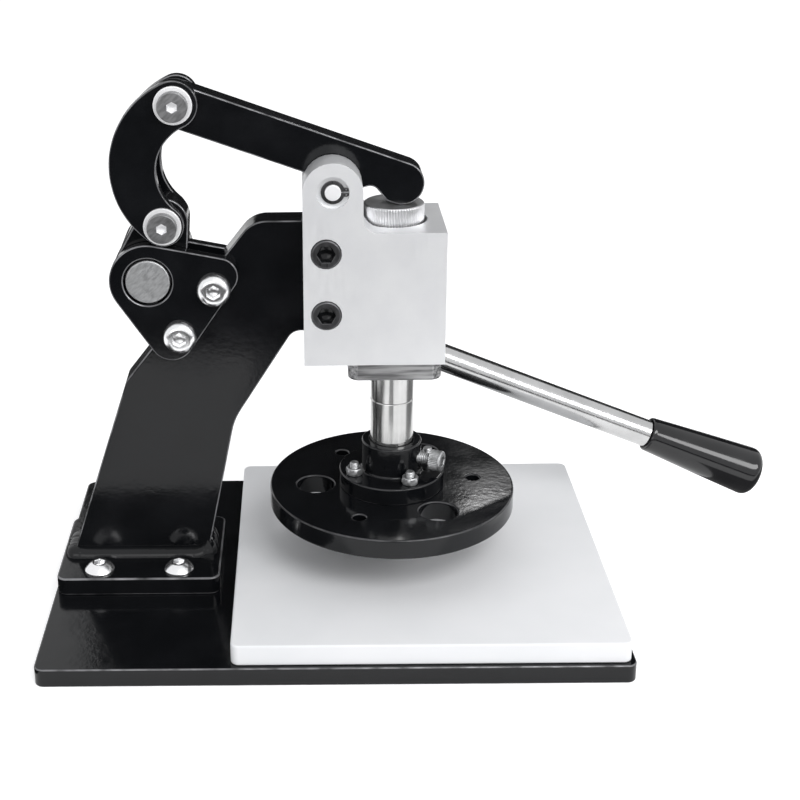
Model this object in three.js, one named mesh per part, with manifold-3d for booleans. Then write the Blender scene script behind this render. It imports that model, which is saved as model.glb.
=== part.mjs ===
// Leather cutting die press: a base with a cutting board, a gooseneck column, a head block with a
// round ram and press plate, and a crank, C links and a rocking lever that drive the ram.
// Sizes are in millimetres. X runs to the right, Y away from the user and Z up.
// The origin is the middle of the base plate's underside.
import * as THREE from "three";
import { mergeVertices } from "three/addons/utils/BufferGeometryUtils.js";
import Module from "manifold-3d";

const wasm = await Module();
wasm.setup();

// Clearances and shared values
const FIT = 0.3; // round pin to its hole, on the radius
const SLIP = 0.3; // end or side face of a turned or cut piece to its neighbour
const OVERRUN = 4; // cuts run this far past the faces that they open
const CHORD_DEPTH = 0.14; // how far the flats of a round surface fall inside its circle
const HOLE_TURN = 8; // degrees from a hole's first corner to the X axis, so that no corners line up
const QUARTER = Math.PI / 2;
const HALF = Math.PI;
const RAD = Math.PI / 180;

// Base plate
const BASE_WIDTH = 360;
const BASE_DEPTH = 246;
const BASE_THICK = 12;
const BASE_CORNER = 6;

// Foot plate under the column
const FOOT_WIDTH = 106;
const FOOT_DEPTH = 84;
const FOOT_THICK = 12;
const FOOT_CORNER = 10;
const FOOT_EDGE = 1.5; // foot plate to the base's left edge
const FOOT_BOLT_IN_X = 27; // screws from the foot plate's ends
const FOOT_BOLT_IN_Y = 12; // screws from its long edges
const WELD_LEG = 6;

// Cutting board
const BOARD_THICK = 13.5;
const BOARD_CORNER = 5;
const BOARD_EDGE = 3; // board to the base's right, front and back edges
const BOARD_GAP = 10.5; // board to the foot plate

// Column: one thick plate cut to a gooseneck
const PRESS_Y = 3; // the press stands this far behind the middle of the base
const COLUMN_THICK = 20;
const COLUMN_INSET = 7; // column to the foot plate's left end
const COLUMN_FOOT_WIDTH = 90;
const NECK_RISE = 36.4; // column's top above the shaft's axis
const COLUMN_LEAN = 18.4; // left edge's lean to the right, in degrees from upright
const ARM_PASS = 5.3; // slanted edge behind the crank to the crank arm's boss
const SHOULDER_ROUND = 8;
const ELBOW_RUN = 20;
const ELBOW_RISE = 97;
const ELBOW_ROUND = 45;
const NECK_SETBACK = 31.3; // top corner of the neck to the head block
const NECK_ROUND = 19;
const THROAT_SETBACK = 7;
const THROAT_ROUND = 9;
const TONGUE_HEIGHT = 72.5; // end of the column that the head block grips

// Fasteners: radii of shank and head, height of head, socket across flats
const M12_CAP = { shank: 6, head: 9, high: 9, socket: 10 };
const M10_WIDE = { shank: 5, head: 10, high: 6, socket: 8 };
const M10_BUTTON = { shank: 5, head: 9.2, high: 5.5, socket: 6 };
const M10_LOW = { shank: 5, head: 8.8, high: 5, socket: 7 };
const M8_CAP = { shank: 4, head: 6.8, high: 8, socket: 6 };
const M8_GRUB = { shank: 4, socket: 4 };
const M6_CAP = { shank: 3, head: 5, high: 6, socket: 5 };
const M10_NUT = { bore: 5, flats: 18, high: 9 };
const M6_NUT = { bore: 3, flats: 10, high: 5 };
const socketShare = 0.6; // socket depth in a head's height
const headEdgeShare = 0.3; // straight edge of a domed head in its height
const COUNTERBORE_GAP = 0.5; // head to its counterbore, on the radius

// Crank shaft, arm and key
const SHAFT_REACH = 59.1; // shaft axis to the column's left foot corner, along X
const SHAFT_RISE = 194.1; // shaft axis above the foot plate
const SHAFT_RADIUS = 14;
const SHAFT_RECESS = 0.5; // shaft's front end behind the cheek's face
const SHAFT_CHAMFER = 1;
const CRANK_RADIUS = 37.7;
const CRANK_LEAN = 16.7; // degrees past upright, handle down
const ARM_SIDE_GAP = 0.5; // arm to each cheek
const ARM_WALL = 9.5; // arm round the shaft
const ARM_END_WALL = 7; // arm round the crank pin
const KEY_WIDTH = 8;
const KEY_HEIGHT = 7;

// Links and rocking lever
const LINK_LENGTH = 75.4;
const LINK_THICK = 7.4;
const LINK_TOP_ROUND = 16;
const LINK_LOW_ROUND = 13.1;
const LINK_OUTER = 58.4;
const LINK_INNER = 29.5;
const LINK_PIN_RADIUS = 8;
const WASHER_RADIUS = 11.7;
const WASHER_THICK = 2;
const LEVER_ARM = 107.4; // pivot to the upper link pin
const LEVER_SIDE_GAP = 1; // lever to each side of its slot
const LEVER_WIDTH = 26.7;
const LEVER_RISE = 13.65; // bar's centre line above the pivot
const LEVER_PIN_RISE = 1.95; // upper pin above the bar's centre line
const LEVER_NOSE = 54.2; // pivot to the nose's tip, along the bar
const LEVER_BOSS = 15;
const NOTCH_RISE = 6; // notch between boss and nose, above the bar's underside
const NOTCH_RUN = 11.5;
const NOTCH_SLOPE = 9;
const NOTCH_ROUND = 4.5;

// Cheek plates that carry the crank shaft
const CHEEK_THICK = 8;
const CHEEK_SWING_GAP = 0.6; // cheek's boss to the ends of the links
const CHEEK_SIDE_X = 44.1; // right lobe from the shaft axis
const CHEEK_SIDE_RISE = 3.3;
const CHEEK_SIDE_ROUND = 12;
const CHEEK_LOW_X = 13.4; // lower lobe from the shaft axis
const CHEEK_LOW_DROP = 38.1;
const CHEEK_LOW_ROUND = 14;
const REAR_CHEEK_TRIM = 2; // the rear cheek is cut this much smaller all round
const UPPER_BOLT_X = 40.9; // cheek bolts from the shaft axis
const UPPER_BOLT_DROP = 5.2;
const LOWER_BOLT_X = 18.7;
const LOWER_BOLT_DROP = 36.1;
const BOLT_TAIL = 3; // bolt end past its nut

// Head block
const RAM_REACH = 212; // ram axis to the column's left foot corner, along X
const BLOCK_RIGHT = 30.5; // ram axis to the block's right face
const BLOCK_WIDTH = 87;
const BLOCK_DEPTH = 66;
const BLOCK_HEIGHT = 85;
const BLOCK_DROP = 2; // block's top below the column's
const EAR_WIDTH = 36.4;
const EAR_ROOT_ROUND = 9;
const PIVOT_RISE = 25.5; // lever pivot above the block's top
const SLOT_WALL = 5.5; // slot to the bore for the spring
const SLOT_EXTRA = 2; // slot end to the column's end
const CLAMP_BOLT_GAP = 39.4;
const CLAMP_BOLT_RISE = 33; // lower clamp screw above the block's underside
const CLAMP_HEAD_SINK = 8; // depth of the clamp screws' counterbores

// Lever pivot pin and its circlips
const PIVOT_PIN_RADIUS = 6;
const PIVOT_NECK_RADIUS = 4.9; // pin end that the circlip sits on
const PIVOT_POCKET_RADIUS = 10;
const PIVOT_POCKET_DEPTH = 3;
const CIRCLIP_WALL = 2;
const CIRCLIP_THICK = 1.2;
const CIRCLIP_GAP = 1.2; // half of the gap between its ends
const CIRCLIP_LUG = 2;

// Ram, cap, bush and spring
const RAM_RADIUS = 14;
const CAP_WALL = 5; // cap beyond the ram, on the radius
const CAP_HEIGHT = 12;
const CAP_BEVEL = 1;
const CAP_SHANK_RADIUS = 6;
const CAP_SHANK_LENGTH = 26;
const CAP_BORE_GAP = 2; // cap to the bore round it, on the radius
const BUSH_WALL = 6;
const BUSH_FLANGE = 58;
const BUSH_FLANGE_THICK = 12;
const BUSH_CORNER = 5.5;
const BUSH_BARREL = 38;
const BUSH_BOLT_IN = 7; // screws from the flange's edges
const BUSH_BOLT_LENGTH = 18; // in the block
const SPRING_GAP = 1.9; // wire to the ram
const SPRING_WIRE = 1.25;
const SPRING_TURNS = 7;
const SPRING_STEPS = 8; // steps in a turn
const SPRING_SIDES = 5;
const SPRING_LEAST_GAP = 0.4;

// Press plate and its hub
const DAYLIGHT = 32.5; // board to press plate, handle down
const DISC_RADIUS = 80;
const DISC_THICK = 13;
const DISC_BEVEL = 1;
const DISC_HOLES = 3; // large holes, and as many small ones
const DISC_HOLE_RADIUS = 12.3;
const DISC_HOLE_CIRCLE = 50;
const DISC_HOLE_TURN = -57; // degrees
const DISC_SMALL_RADIUS = 4.2;
const DISC_SMALL_CIRCLE = 54.4;
const DISC_SMALL_TURN = 5; // degrees
const HUB_WALL = 5.1;
const HUB_LEDGE = 14.9; // flange beyond the collar, on the radius
const HUB_FLANGE_THICK = 11;
const HUB_COLLAR_HEIGHT = 20.5;
const STUD_COUNT = 4;
const STUD_TURN = 23; // degrees
const STUD_TAIL = 3.5; // stud past its nut
const STUD_HEAD = { radius: 5.5, high: 4 };
const LOCK_SCREW_TURN = -25; // degrees
const LOCK_SCREW_SHOWN = 8; // shank between collar and head

// Handle
const HANDLE_DROP = 22.3; // degrees below level, handle down
const HANDLE_CLEAR = 3.6; // bar to the back of the head block
const HANDLE_HUB_WALL = 8.7;
const HANDLE_HUB_LENGTH = 30;
const SHAFT_TAIL = 3; // shaft past the handle hub
const BAR_RADIUS = 9.4;
const BAR_REACH = 358; // shaft axis to the grip
const BAR_SPIGOT_RADIUS = 6;
const GRIP_LENGTH = 84;
const GRIP_SMALL_RADIUS = 11.6;
const GRIP_LARGE_RADIUS = 16.6;
const gripBoreShare = 0.7; // depth of the grip's bore in its length

// Places that follow from the sizes
const BASE_LEFT = -BASE_WIDTH / 2;
const FOOT_LEFT = BASE_LEFT + FOOT_EDGE;
const FOOT_TOP = BASE_THICK + FOOT_THICK;
const COLUMN_LEFT = FOOT_LEFT + COLUMN_INSET;
const COLUMN_RIGHT = COLUMN_LEFT + COLUMN_FOOT_WIDTH;
const SHAFT_X = COLUMN_LEFT + SHAFT_REACH;
const SHAFT_Z = FOOT_TOP + SHAFT_RISE;
const COLUMN_TOP = SHAFT_Z + NECK_RISE;
const CHEEK_FACE = COLUMN_THICK / 2 + CHEEK_THICK;
const CHEEK_BOSS = CRANK_RADIUS - LINK_LOW_ROUND - CHEEK_SWING_GAP;
const RAM_X = COLUMN_LEFT + RAM_REACH;
const BUSH_RADIUS = RAM_RADIUS + FIT + BUSH_WALL;
const CAP_RADIUS = RAM_RADIUS + CAP_WALL;
const CAP_BORE = CAP_RADIUS + CAP_BORE_GAP;
const BLOCK_LEFT = RAM_X + BLOCK_RIGHT - BLOCK_WIDTH;
const BLOCK_TOP = COLUMN_TOP - BLOCK_DROP;
const BLOCK_BOTTOM = BLOCK_TOP - BLOCK_HEIGHT;
const SLOT_END = RAM_X - CAP_BORE - SLOT_WALL;
const TONGUE_END = SLOT_END - SLOT_EXTRA;
const PIVOT_X = BLOCK_LEFT + EAR_WIDTH / 2;
const PIVOT_Z = BLOCK_TOP + PIVOT_RISE;
const BUSH_TOP = BLOCK_BOTTOM + BUSH_BARREL;
const DISC_BOTTOM = BASE_THICK + BOARD_THICK + DAYLIGHT;
const DISC_TOP = DISC_BOTTOM + DISC_THICK;
const HUB_COLLAR_RADIUS = RAM_RADIUS + FIT + HUB_WALL;
const HUB_FLANGE_RADIUS = HUB_COLLAR_RADIUS + HUB_LEDGE;
const HUB_FLANGE_TOP = DISC_TOP + HUB_FLANGE_THICK;
const HUB_TOP = HUB_FLANGE_TOP + HUB_COLLAR_HEIGHT;
const STUD_CIRCLE = HUB_COLLAR_RADIUS + HUB_LEDGE / 2;
const HANDLE_HUB_RADIUS = SHAFT_RADIUS + FIT + HANDLE_HUB_WALL;
const HANDLE_BACK = BLOCK_DEPTH / 2 + HANDLE_CLEAR + BAR_RADIUS;

// Materials, one for each finish
function finish(color, roughness, metalness) {
  return () => new THREE.MeshStandardMaterial({ color, roughness, metalness });
}
const blackPaint = finish(0x0c0d0f, 0.28, 0.1);
const blackSteel = finish(0x17181a, 0.45, 0.6);
const paleNylon = finish(0xe9eaec, 0.5, 0);
const aluminium = finish(0xc9cbce, 0.38, 0.9);
const chrome = finish(0xd6d8da, 0.16, 1);
const brightSteel = finish(0xb9bbbe, 0.32, 1);
const shaftSteel = finish(0x8a8c8f, 0.45, 0.9);
const springSteel = finish(0x55585c, 0.4, 0.9);
const blackGrip = finish(0x08080a, 0.14, 0);

// Solids: joining and cutting

function toSolid(geometry) {
  const bare = geometry.clone();
  bare.deleteAttribute("normal");
  bare.deleteAttribute("uv");
  const merged = mergeVertices(bare);
  const vertProperties = new Float32Array(merged.attributes.position.array);
  const triVerts = new Uint32Array(merged.index.array);
  return new wasm.Manifold(new wasm.Mesh({ numProp: 3, vertProperties, triVerts }));
}

function toGeometry(solid) {
  const mesh = solid.getMesh();
  const geometry = new THREE.BufferGeometry();
  geometry.setAttribute("position", new THREE.BufferAttribute(mesh.vertProperties, 3));
  geometry.setIndex(new THREE.BufferAttribute(mesh.triVerts, 1));
  geometry.computeVertexNormals();
  return geometry;
}

// The body with every tool taken away
function cut(body, ...tools) {
  let solid = toSolid(body);
  for (const tool of tools) solid = solid.subtract(toSolid(tool));
  return toGeometry(solid);
}

function join(body, ...others) {
  let solid = toSolid(body);
  for (const other of others) solid = solid.add(toSolid(other));
  return toGeometry(solid);
}

// Outlines: closed lists of points, whose arcs are cut into flats of an even depth

function flatsFor(radius, sweep) {
  const widest = 2 * Math.acos(1 - CHORD_DEPTH / radius);
  return Math.max(2, Math.ceil(Math.abs(sweep) / widest));
}

// Points along an arc from one angle to another, with both ends
function arcPoints(x, y, radius, from, to, clockwise = false) {
  const turn = 2 * HALF;
  let sweep = (((to - from) % turn) + turn) % turn;
  if (clockwise) sweep -= turn;
  const flats = flatsFor(radius, sweep);
  return Array.from({ length: flats + 1 }, (_, step) => {
    const angle = from + (sweep * step) / flats;
    return new THREE.Vector2(x + radius * Math.cos(angle), y + radius * Math.sin(angle));
  });
}

// A shape through points, leaving out any that falls on the one before it
function shapeFrom(points) {
  const apart = points.filter((point, index) => {
    const before = points[(index + points.length - 1) % points.length];
    return point.distanceTo(before) > CHORD_DEPTH / 10;
  });
  return new THREE.Shape(apart);
}

// A closed outline through corners [x, y, radius], each rounded by an arc of its radius
function roundedOutline(corners) {
  const count = corners.length;
  const points = corners.flatMap(([x, y, radius = 0], index) => {
    const here = new THREE.Vector2(x, y);
    const before = new THREE.Vector2(...corners[(index + count - 1) % count]);
    const after = new THREE.Vector2(...corners[(index + 1) % count]);
    return radius > 0 ? cornerArc(here, before, after, radius) : [here];
  });
  return shapeFrom(points);
}

// The arc that rounds the corner at here, on the way from before to after
function cornerArc(here, before, after, radius) {
  const back = before.sub(here).normalize();
  const ahead = after.sub(here).normalize();
  const halfAngle = Math.acos(back.dot(ahead)) / 2;
  const reach = radius / Math.tan(halfAngle);
  const start = here.clone().addScaledVector(back, reach);
  const end = here.clone().addScaledVector(ahead, reach);
  const middle = back.clone().add(ahead).normalize();
  const centre = here.clone().addScaledVector(middle, radius / Math.sin(halfAngle));
  const from = angleFrom(centre, start);
  return arcPoints(centre.x, centre.y, radius, from, angleFrom(centre, end), back.cross(ahead) > 0);
}

// The outline of a tight band round circles {x, y, r}, listed anticlockwise
function bandOutline(circles) {
  const count = circles.length;
  const leave = circles.map((a, index) => {
    const b = circles[(index + 1) % count];
    const gap = Math.hypot(b.x - a.x, b.y - a.y);
    return angleFrom(a, b) - Math.acos((a.r - b.r) / gap);
  });
  return shapeFrom(circles.flatMap(({ x, y, r }, index) => {
    const from = leave[(index + count - 1) % count];
    return arcPoints(x, y, r, from, leave[index]);
  }));
}

function addRoundHole(shape, x, y, radius) {
  const flats = flatsFor(radius, 2 * HALF);
  const points = Array.from({ length: flats }, (_, step) => {
    const angle = HOLE_TURN * RAD - (2 * HALF * step) / flats;
    return new THREE.Vector2(x + radius * Math.cos(angle), y + radius * Math.sin(angle));
  });
  shape.holes.push(new THREE.Path(points));
}

function angleFrom(a, b) {
  return Math.atan2(b.y - a.y, b.x - a.x);
}

// Where two circles meet: the point to the right of the line from a to b, or to its left
function circlesMeet(a, ra, b, rb, right) {
  const gap = Math.hypot(b.x - a.x, b.y - a.y);
  const along = (ra * ra - rb * rb + gap * gap) / (2 * gap);
  const across = Math.sqrt(ra * ra - along * along) * (right ? -1 : 1);
  const ux = (b.x - a.x) / gap;
  const uy = (b.y - a.y) / gap;
  return { x: a.x + along * ux - across * uy, y: a.y + along * uy + across * ux };
}

// Basic shapes

// A flat plate that lies level: outline in X and Y, from z upward
function levelPlate(shape, thick, z) {
  return new THREE.ExtrudeGeometry(shape, { depth: thick, bevelEnabled: false }).translate(0, 0, z);
}

// A plate that stands upright: outline in X and Z, from y toward the back
function uprightPlate(shape, thick, y) {
  const geometry = new THREE.ExtrudeGeometry(shape, { depth: thick, bevelEnabled: false });
  return geometry.rotateX(QUARTER).translate(0, y + thick, 0);
}

// A turned piece about the Y axis, from [radius, place] points that run toward +Y
function turned(points) {
  const widest = Math.max(...points.map(([r]) => r));
  const profile = points.map(([r, y]) => new THREE.Vector2(r, y));
  return new THREE.LatheGeometry(profile, flatsFor(widest, 2 * HALF));
}

// A turned ring: a bore, an outer radius, and its two ends along Y
function ring(bore, outer, from, to) {
  return turned([[bore, from], [outer, from], [outer, to], [bore, to], [bore, from]]);
}

function rod(radius, from, to) {
  return turned([[0, from], [radius, from], [radius, to], [0, to]]);
}

function hexagon(flats, from, to) {
  const radius = flats / Math.sqrt(3);
  const profile = [[0, from], [radius, from], [radius, to], [0, to]].map(([r, y]) => new THREE.Vector2(r, y));
  return new THREE.LatheGeometry(profile, 6);
}

function box(width, depth, height) {
  return new THREE.BoxGeometry(width, depth, height);
}

// Pieces turned along Y are set upright, with their front end up, or with their back end up
const frontUp = (geometry) => geometry.rotateX(-QUARTER);
const backUp = (geometry) => geometry.rotateX(QUARTER);

// Fasteners: the head faces -Y, its underside is at y = 0 and the shank runs toward +Y

function capScrew(size, length) {
  const { shank, head, high, socket } = size;
  const body = turned([[0, -high], [head, -high], [head, 0], [shank, 0], [shank, length], [0, length]]);
  return cut(body, hexagon(socket, -high - OVERRUN, -high + high * socketShare));
}

function domedScrew(size, length) {
  const { shank, head, high, socket } = size;
  const edge = high * headEdgeShare;
  const flat = socket * socketShare;
  const steps = 3;
  const points = [[0, -high], [flat, -high]];
  for (let step = 1; step <= steps; step += 1) {
    const angle = (step / steps) * QUARTER;
    points.push([flat + (head - flat) * Math.sin(angle), -edge - (high - edge) * Math.cos(angle)]);
  }
  points.push([head, 0], [shank, 0], [shank, length], [0, length]);
  return cut(turned(points), hexagon(socket, -high - OVERRUN, -high + high * socketShare));
}

function hexNut(size) {
  return cut(hexagon(size.flats, 0, size.high), rod(size.bore + FIT, -OVERRUN, size.high + OVERRUN));
}

function washer() {
  return ring(M10_LOW.shank + FIT, WASHER_RADIUS, 0, WASHER_THICK);
}

// Assembly

const press = new THREE.Group(); // everything on the press's own middle plane
press.position.y = PRESS_Y;
const pressPlate = new THREE.Group();
pressPlate.position.set(RAM_X, 0, 0);
press.add(pressPlate);
const assembly = new THREE.Group();
assembly.add(press);

function place(parent, name, geometry, material, x = 0, y = 0, z = 0) {
  const mesh = new THREE.Mesh(geometry, material());
  mesh.name = name;
  mesh.position.set(x, y, z);
  parent.add(mesh);
  return mesh;
}

// Base plate, board and foot plate

function cornerPoints(width, depth, x = 0, y = 0) {
  const halves = [[-1, -1], [1, -1], [1, 1], [-1, 1]];
  return halves.map(([sx, sy]) => [x + (sx * width) / 2, y + (sy * depth) / 2]);
}

function roundedRectangle(width, depth, round) {
  return roundedOutline(cornerPoints(width, depth).map(([x, y]) => [x, y, round]));
}

const footX = FOOT_LEFT + FOOT_WIDTH / 2;
const footBolts = cornerPoints(FOOT_WIDTH - 2 * FOOT_BOLT_IN_X, FOOT_DEPTH - 2 * FOOT_BOLT_IN_Y);

function basePlate() {
  const shape = roundedRectangle(BASE_WIDTH, BASE_DEPTH, BASE_CORNER);
  for (const [x, y] of footBolts) addRoundHole(shape, footX + x, PRESS_Y + y, M10_BUTTON.shank + FIT);
  return levelPlate(shape, BASE_THICK, 0);
}

function footPlate() {
  const shape = roundedRectangle(FOOT_WIDTH, FOOT_DEPTH, FOOT_CORNER);
  for (const [x, y] of footBolts) addRoundHole(shape, x, y, M10_BUTTON.shank + FIT);
  return levelPlate(shape, FOOT_THICK, 0);
}

const boardLeft = FOOT_LEFT + FOOT_WIDTH + BOARD_GAP;
const boardRight = BASE_WIDTH / 2 - BOARD_EDGE;

function cuttingBoard() {
  const depth = BASE_DEPTH - 2 * BOARD_EDGE;
  return levelPlate(roundedRectangle(boardRight - boardLeft, depth, BOARD_CORNER), BOARD_THICK, 0);
}

place(assembly, "base_plate", basePlate(), blackPaint);
place(assembly, "cutting_board", cuttingBoard(), paleNylon, (boardLeft + boardRight) / 2, 0, BASE_THICK);
place(press, "foot_plate", footPlate(), blackPaint, footX, 0, BASE_THICK);
footBolts.forEach(([x, y], index) => {
  const screw = frontUp(domedScrew(M10_BUTTON, FOOT_THICK + BASE_THICK - OVERRUN));
  place(press, `foot_screw_${index + 1}`, screw, brightSteel, footX + x, y, FOOT_TOP);
});

// Column and the weld round its foot

const tongueBottom = COLUMN_TOP - TONGUE_HEIGHT;
const clampX = (BLOCK_LEFT + TONGUE_END) / 2;
const clampBolts = [0, CLAMP_BOLT_GAP].map((up) => [clampX, BLOCK_BOTTOM + CLAMP_BOLT_RISE + up]);
const cheekBolts = [
  [SHAFT_X + UPPER_BOLT_X, SHAFT_Z - UPPER_BOLT_DROP],
  [SHAFT_X + LOWER_BOLT_X, SHAFT_Z - LOWER_BOLT_DROP],
];

// Where two lines meet, each through a point at an angle
function linesMeet(point, angle, other, otherAngle) {
  const along = new THREE.Vector2(Math.cos(angle), Math.sin(angle));
  const across = new THREE.Vector2(Math.cos(otherAngle), Math.sin(otherAngle));
  const step = other.clone().sub(point).cross(across) / along.cross(across);
  return point.clone().addScaledVector(along, step);
}

// The leaning left edge meets the slanted edge, which passes behind the crank arm's boss
function shoulderCorner() {
  const foot = new THREE.Vector2(COLUMN_LEFT, FOOT_TOP);
  const neck = new THREE.Vector2(BLOCK_LEFT - NECK_SETBACK, COLUMN_TOP);
  const toShaft = new THREE.Vector2(SHAFT_X, SHAFT_Z).sub(neck);
  const pass = SHAFT_RADIUS + ARM_WALL + ARM_PASS;
  const slant = toShaft.angle() + Math.asin(pass / toShaft.length());
  return linesMeet(foot, QUARTER - COLUMN_LEAN * RAD, neck, slant);
}

function columnPlate() {
  const shoulder = shoulderCorner();
  const shape = roundedOutline([
    [COLUMN_LEFT, FOOT_TOP],
    [COLUMN_RIGHT, FOOT_TOP],
    [COLUMN_RIGHT + ELBOW_RUN, FOOT_TOP + ELBOW_RISE, ELBOW_ROUND],
    [BLOCK_LEFT - THROAT_SETBACK, tongueBottom, THROAT_ROUND],
    [TONGUE_END, tongueBottom],
    [TONGUE_END, COLUMN_TOP],
    [BLOCK_LEFT - NECK_SETBACK, COLUMN_TOP, NECK_ROUND],
    [shoulder.x, shoulder.y, SHOULDER_ROUND],
  ]);
  for (const [x, z] of clampBolts) addRoundHole(shape, x, z, M12_CAP.shank + FIT);
  for (const [x, z] of cheekBolts) addRoundHole(shape, x, z, M10_WIDE.shank + FIT);
  return uprightPlate(shape, COLUMN_THICK, -COLUMN_THICK / 2);
}

// A sloping bead on all four sides of the column's foot; its ends clear the leaning edges
function footWeld() {
  const lean = WELD_LEG * Math.tan(COLUMN_LEAN * RAD);
  const half = COLUMN_THICK / 2 + SLIP;
  const left = COLUMN_LEFT - SLIP;
  const right = COLUMN_RIGHT + SLIP + lean;
  const outer = levelOutline(left - WELD_LEG, right + WELD_LEG, half + WELD_LEG);
  const upper = levelOutline(left, right, half + SLIP);
  const hollow = levelOutline(left, right, half);
  const bead = loft(outer, upper, FOOT_TOP, FOOT_TOP + WELD_LEG);
  return cut(bead, loft(hollow, hollow, FOOT_TOP - OVERRUN, FOOT_TOP + WELD_LEG + OVERRUN));
}

function levelOutline(left, right, half) {
  return [[left, -half], [right, -half], [right, half], [left, half]];
}

// A block between a lower and an upper four-cornered outline
function loft(lower, upper, low, high) {
  const points = [...lower.map(([x, y]) => [x, y, low]), ...upper.map(([x, y]) => [x, y, high])];
  const sides = [0, 1, 2, 3].flatMap((i) => {
    const j = (i + 1) % 4;
    return [i, j, j + 4, i, j + 4, i + 4];
  });
  const geometry = new THREE.BufferGeometry();
  geometry.setAttribute("position", new THREE.Float32BufferAttribute(points.flat(), 3));
  geometry.setIndex([0, 2, 1, 0, 3, 2, 4, 5, 6, 4, 6, 7, ...sides]);
  return geometry;
}

place(press, "column_plate", columnPlate(), blackPaint);
place(press, "foot_weld", footWeld(), blackPaint);

// Head block, clamp screws and lever pivot

function blockOutline() {
  const right = BLOCK_LEFT + BLOCK_WIDTH;
  const earRight = BLOCK_LEFT + EAR_WIDTH;
  const earTop = PIVOT_Z + EAR_WIDTH / 2;
  return roundedOutline([
    [BLOCK_LEFT, BLOCK_BOTTOM],
    [right, BLOCK_BOTTOM],
    [right, BLOCK_TOP],
    [earRight, BLOCK_TOP, EAR_ROOT_ROUND],
    [earRight, earTop, EAR_WIDTH / 2],
    [BLOCK_LEFT, earTop, EAR_WIDTH / 2],
  ]);
}

const bushBoltSpan = BUSH_FLANGE - 2 * BUSH_BOLT_IN;
const bushBolts = cornerPoints(bushBoltSpan, bushBoltSpan);

function headBlock() {
  const body = uprightPlate(blockOutline(), BLOCK_DEPTH, -BLOCK_DEPTH / 2);
  const bore = backUp(rod(BUSH_RADIUS + FIT, BLOCK_BOTTOM - OVERRUN, BLOCK_TOP)).translate(RAM_X, 0, 0);
  const springBore = backUp(rod(CAP_BORE, BUSH_TOP, PIVOT_Z)).translate(RAM_X, 0, 0);
  const tools = [columnSlot(), leverPath(), bore, springBore, pivotHole(-1), pivotHole(1)];
  const face = -BLOCK_DEPTH / 2;
  for (const [x, z] of clampBolts) {
    tools.push(rod(M12_CAP.shank + FIT, face - OVERRUN, -face - OVERRUN).translate(x, 0, z));
    const sink = rod(M12_CAP.head + COUNTERBORE_GAP, face - OVERRUN, face + CLAMP_HEAD_SINK);
    tools.push(sink.translate(x, 0, z));
  }
  for (const [x, y] of bushBolts) {
    const hole = rod(M6_CAP.shank + FIT, BLOCK_BOTTOM - OVERRUN, BLOCK_BOTTOM + BUSH_BOLT_LENGTH + OVERRUN);
    tools.push(backUp(hole).translate(RAM_X + x, y, 0));
  }
  return cut(body, ...tools);
}

// The slot that takes the end of the column, open to the left, the top and below
function columnSlot() {
  const length = SLOT_END - BLOCK_LEFT + OVERRUN;
  const high = BLOCK_HEIGHT + 2 * OVERRUN;
  const slot = box(length, COLUMN_THICK + 2 * SLIP, high);
  return slot.translate(SLOT_END - length / 2, 0, BLOCK_BOTTOM - OVERRUN + high / 2);
}

// The lever's way between the two ears, open to the left, the right and the top
function leverPath() {
  const length = BLOCK_WIDTH + 2 * OVERRUN;
  const high = PIVOT_RISE + EAR_WIDTH;
  const path = box(length, COLUMN_THICK + 2 * SLIP, high);
  return path.translate(BLOCK_LEFT - OVERRUN + length / 2, 0, BLOCK_TOP + high / 2);
}

// Hole and shallow pocket in one ear: side is -1 in front and 1 behind
function pivotHole(side) {
  const face = BLOCK_DEPTH / 2;
  const hole = rod(PIVOT_PIN_RADIUS + FIT, COLUMN_THICK / 4, face + OVERRUN);
  const pocket = rod(PIVOT_POCKET_RADIUS, face - PIVOT_POCKET_DEPTH, face + OVERRUN);
  const both = join(hole, pocket);
  if (side < 0) both.rotateX(HALF);
  return both.translate(PIVOT_X, 0, PIVOT_Z);
}

// A plain pin whose necked ends carry the circlips
function pivotPin() {
  const end = BLOCK_DEPTH / 2 - SLIP;
  const neck = BLOCK_DEPTH / 2 - PIVOT_POCKET_DEPTH;
  const points = [[0, -end], [PIVOT_NECK_RADIUS, -end], [PIVOT_NECK_RADIUS, -neck], [PIVOT_PIN_RADIUS, -neck]];
  return turned([...points, ...points.map(([r, y]) => [r, -y]).reverse()]);
}

// An open ring with a lug at each of its ends, the opening to the right
function circlip() {
  const outer = PIVOT_NECK_RADIUS + FIT + CIRCLIP_WALL;
  const body = ring(PIVOT_NECK_RADIUS + FIT, outer, 0, CIRCLIP_THICK);
  const lugs = box(2 * CIRCLIP_LUG, CIRCLIP_THICK, 2 * (CIRCLIP_LUG + CIRCLIP_GAP));
  lugs.translate(outer, CIRCLIP_THICK / 2, 0);
  const mouth = box(2 * outer, 3 * CIRCLIP_THICK, 2 * CIRCLIP_GAP).translate(outer + CIRCLIP_WALL, 0, 0);
  const bore = rod(PIVOT_NECK_RADIUS + FIT, -OVERRUN, OVERRUN);
  return cut(join(body, lugs), mouth, bore);
}

place(press, "head_block", headBlock(), aluminium);
clampBolts.forEach(([x, z], index) => {
  const length = BLOCK_DEPTH - CLAMP_HEAD_SINK - 2 * OVERRUN;
  const y = -BLOCK_DEPTH / 2 + CLAMP_HEAD_SINK;
  place(press, index ? "clamp_screw_upper" : "clamp_screw_lower", capScrew(M12_CAP, length), blackSteel, x, y, z);
});
place(press, "lever_pivot_pin", pivotPin(), brightSteel, PIVOT_X, 0, PIVOT_Z);
const clipY = BLOCK_DEPTH / 2 - PIVOT_POCKET_DEPTH + SLIP;
place(press, "pivot_circlip_front", circlip(), blackSteel, PIVOT_X, -clipY - CIRCLIP_THICK, PIVOT_Z);
place(press, "pivot_circlip_rear", circlip(), blackSteel, PIVOT_X, clipY, PIVOT_Z);

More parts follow.
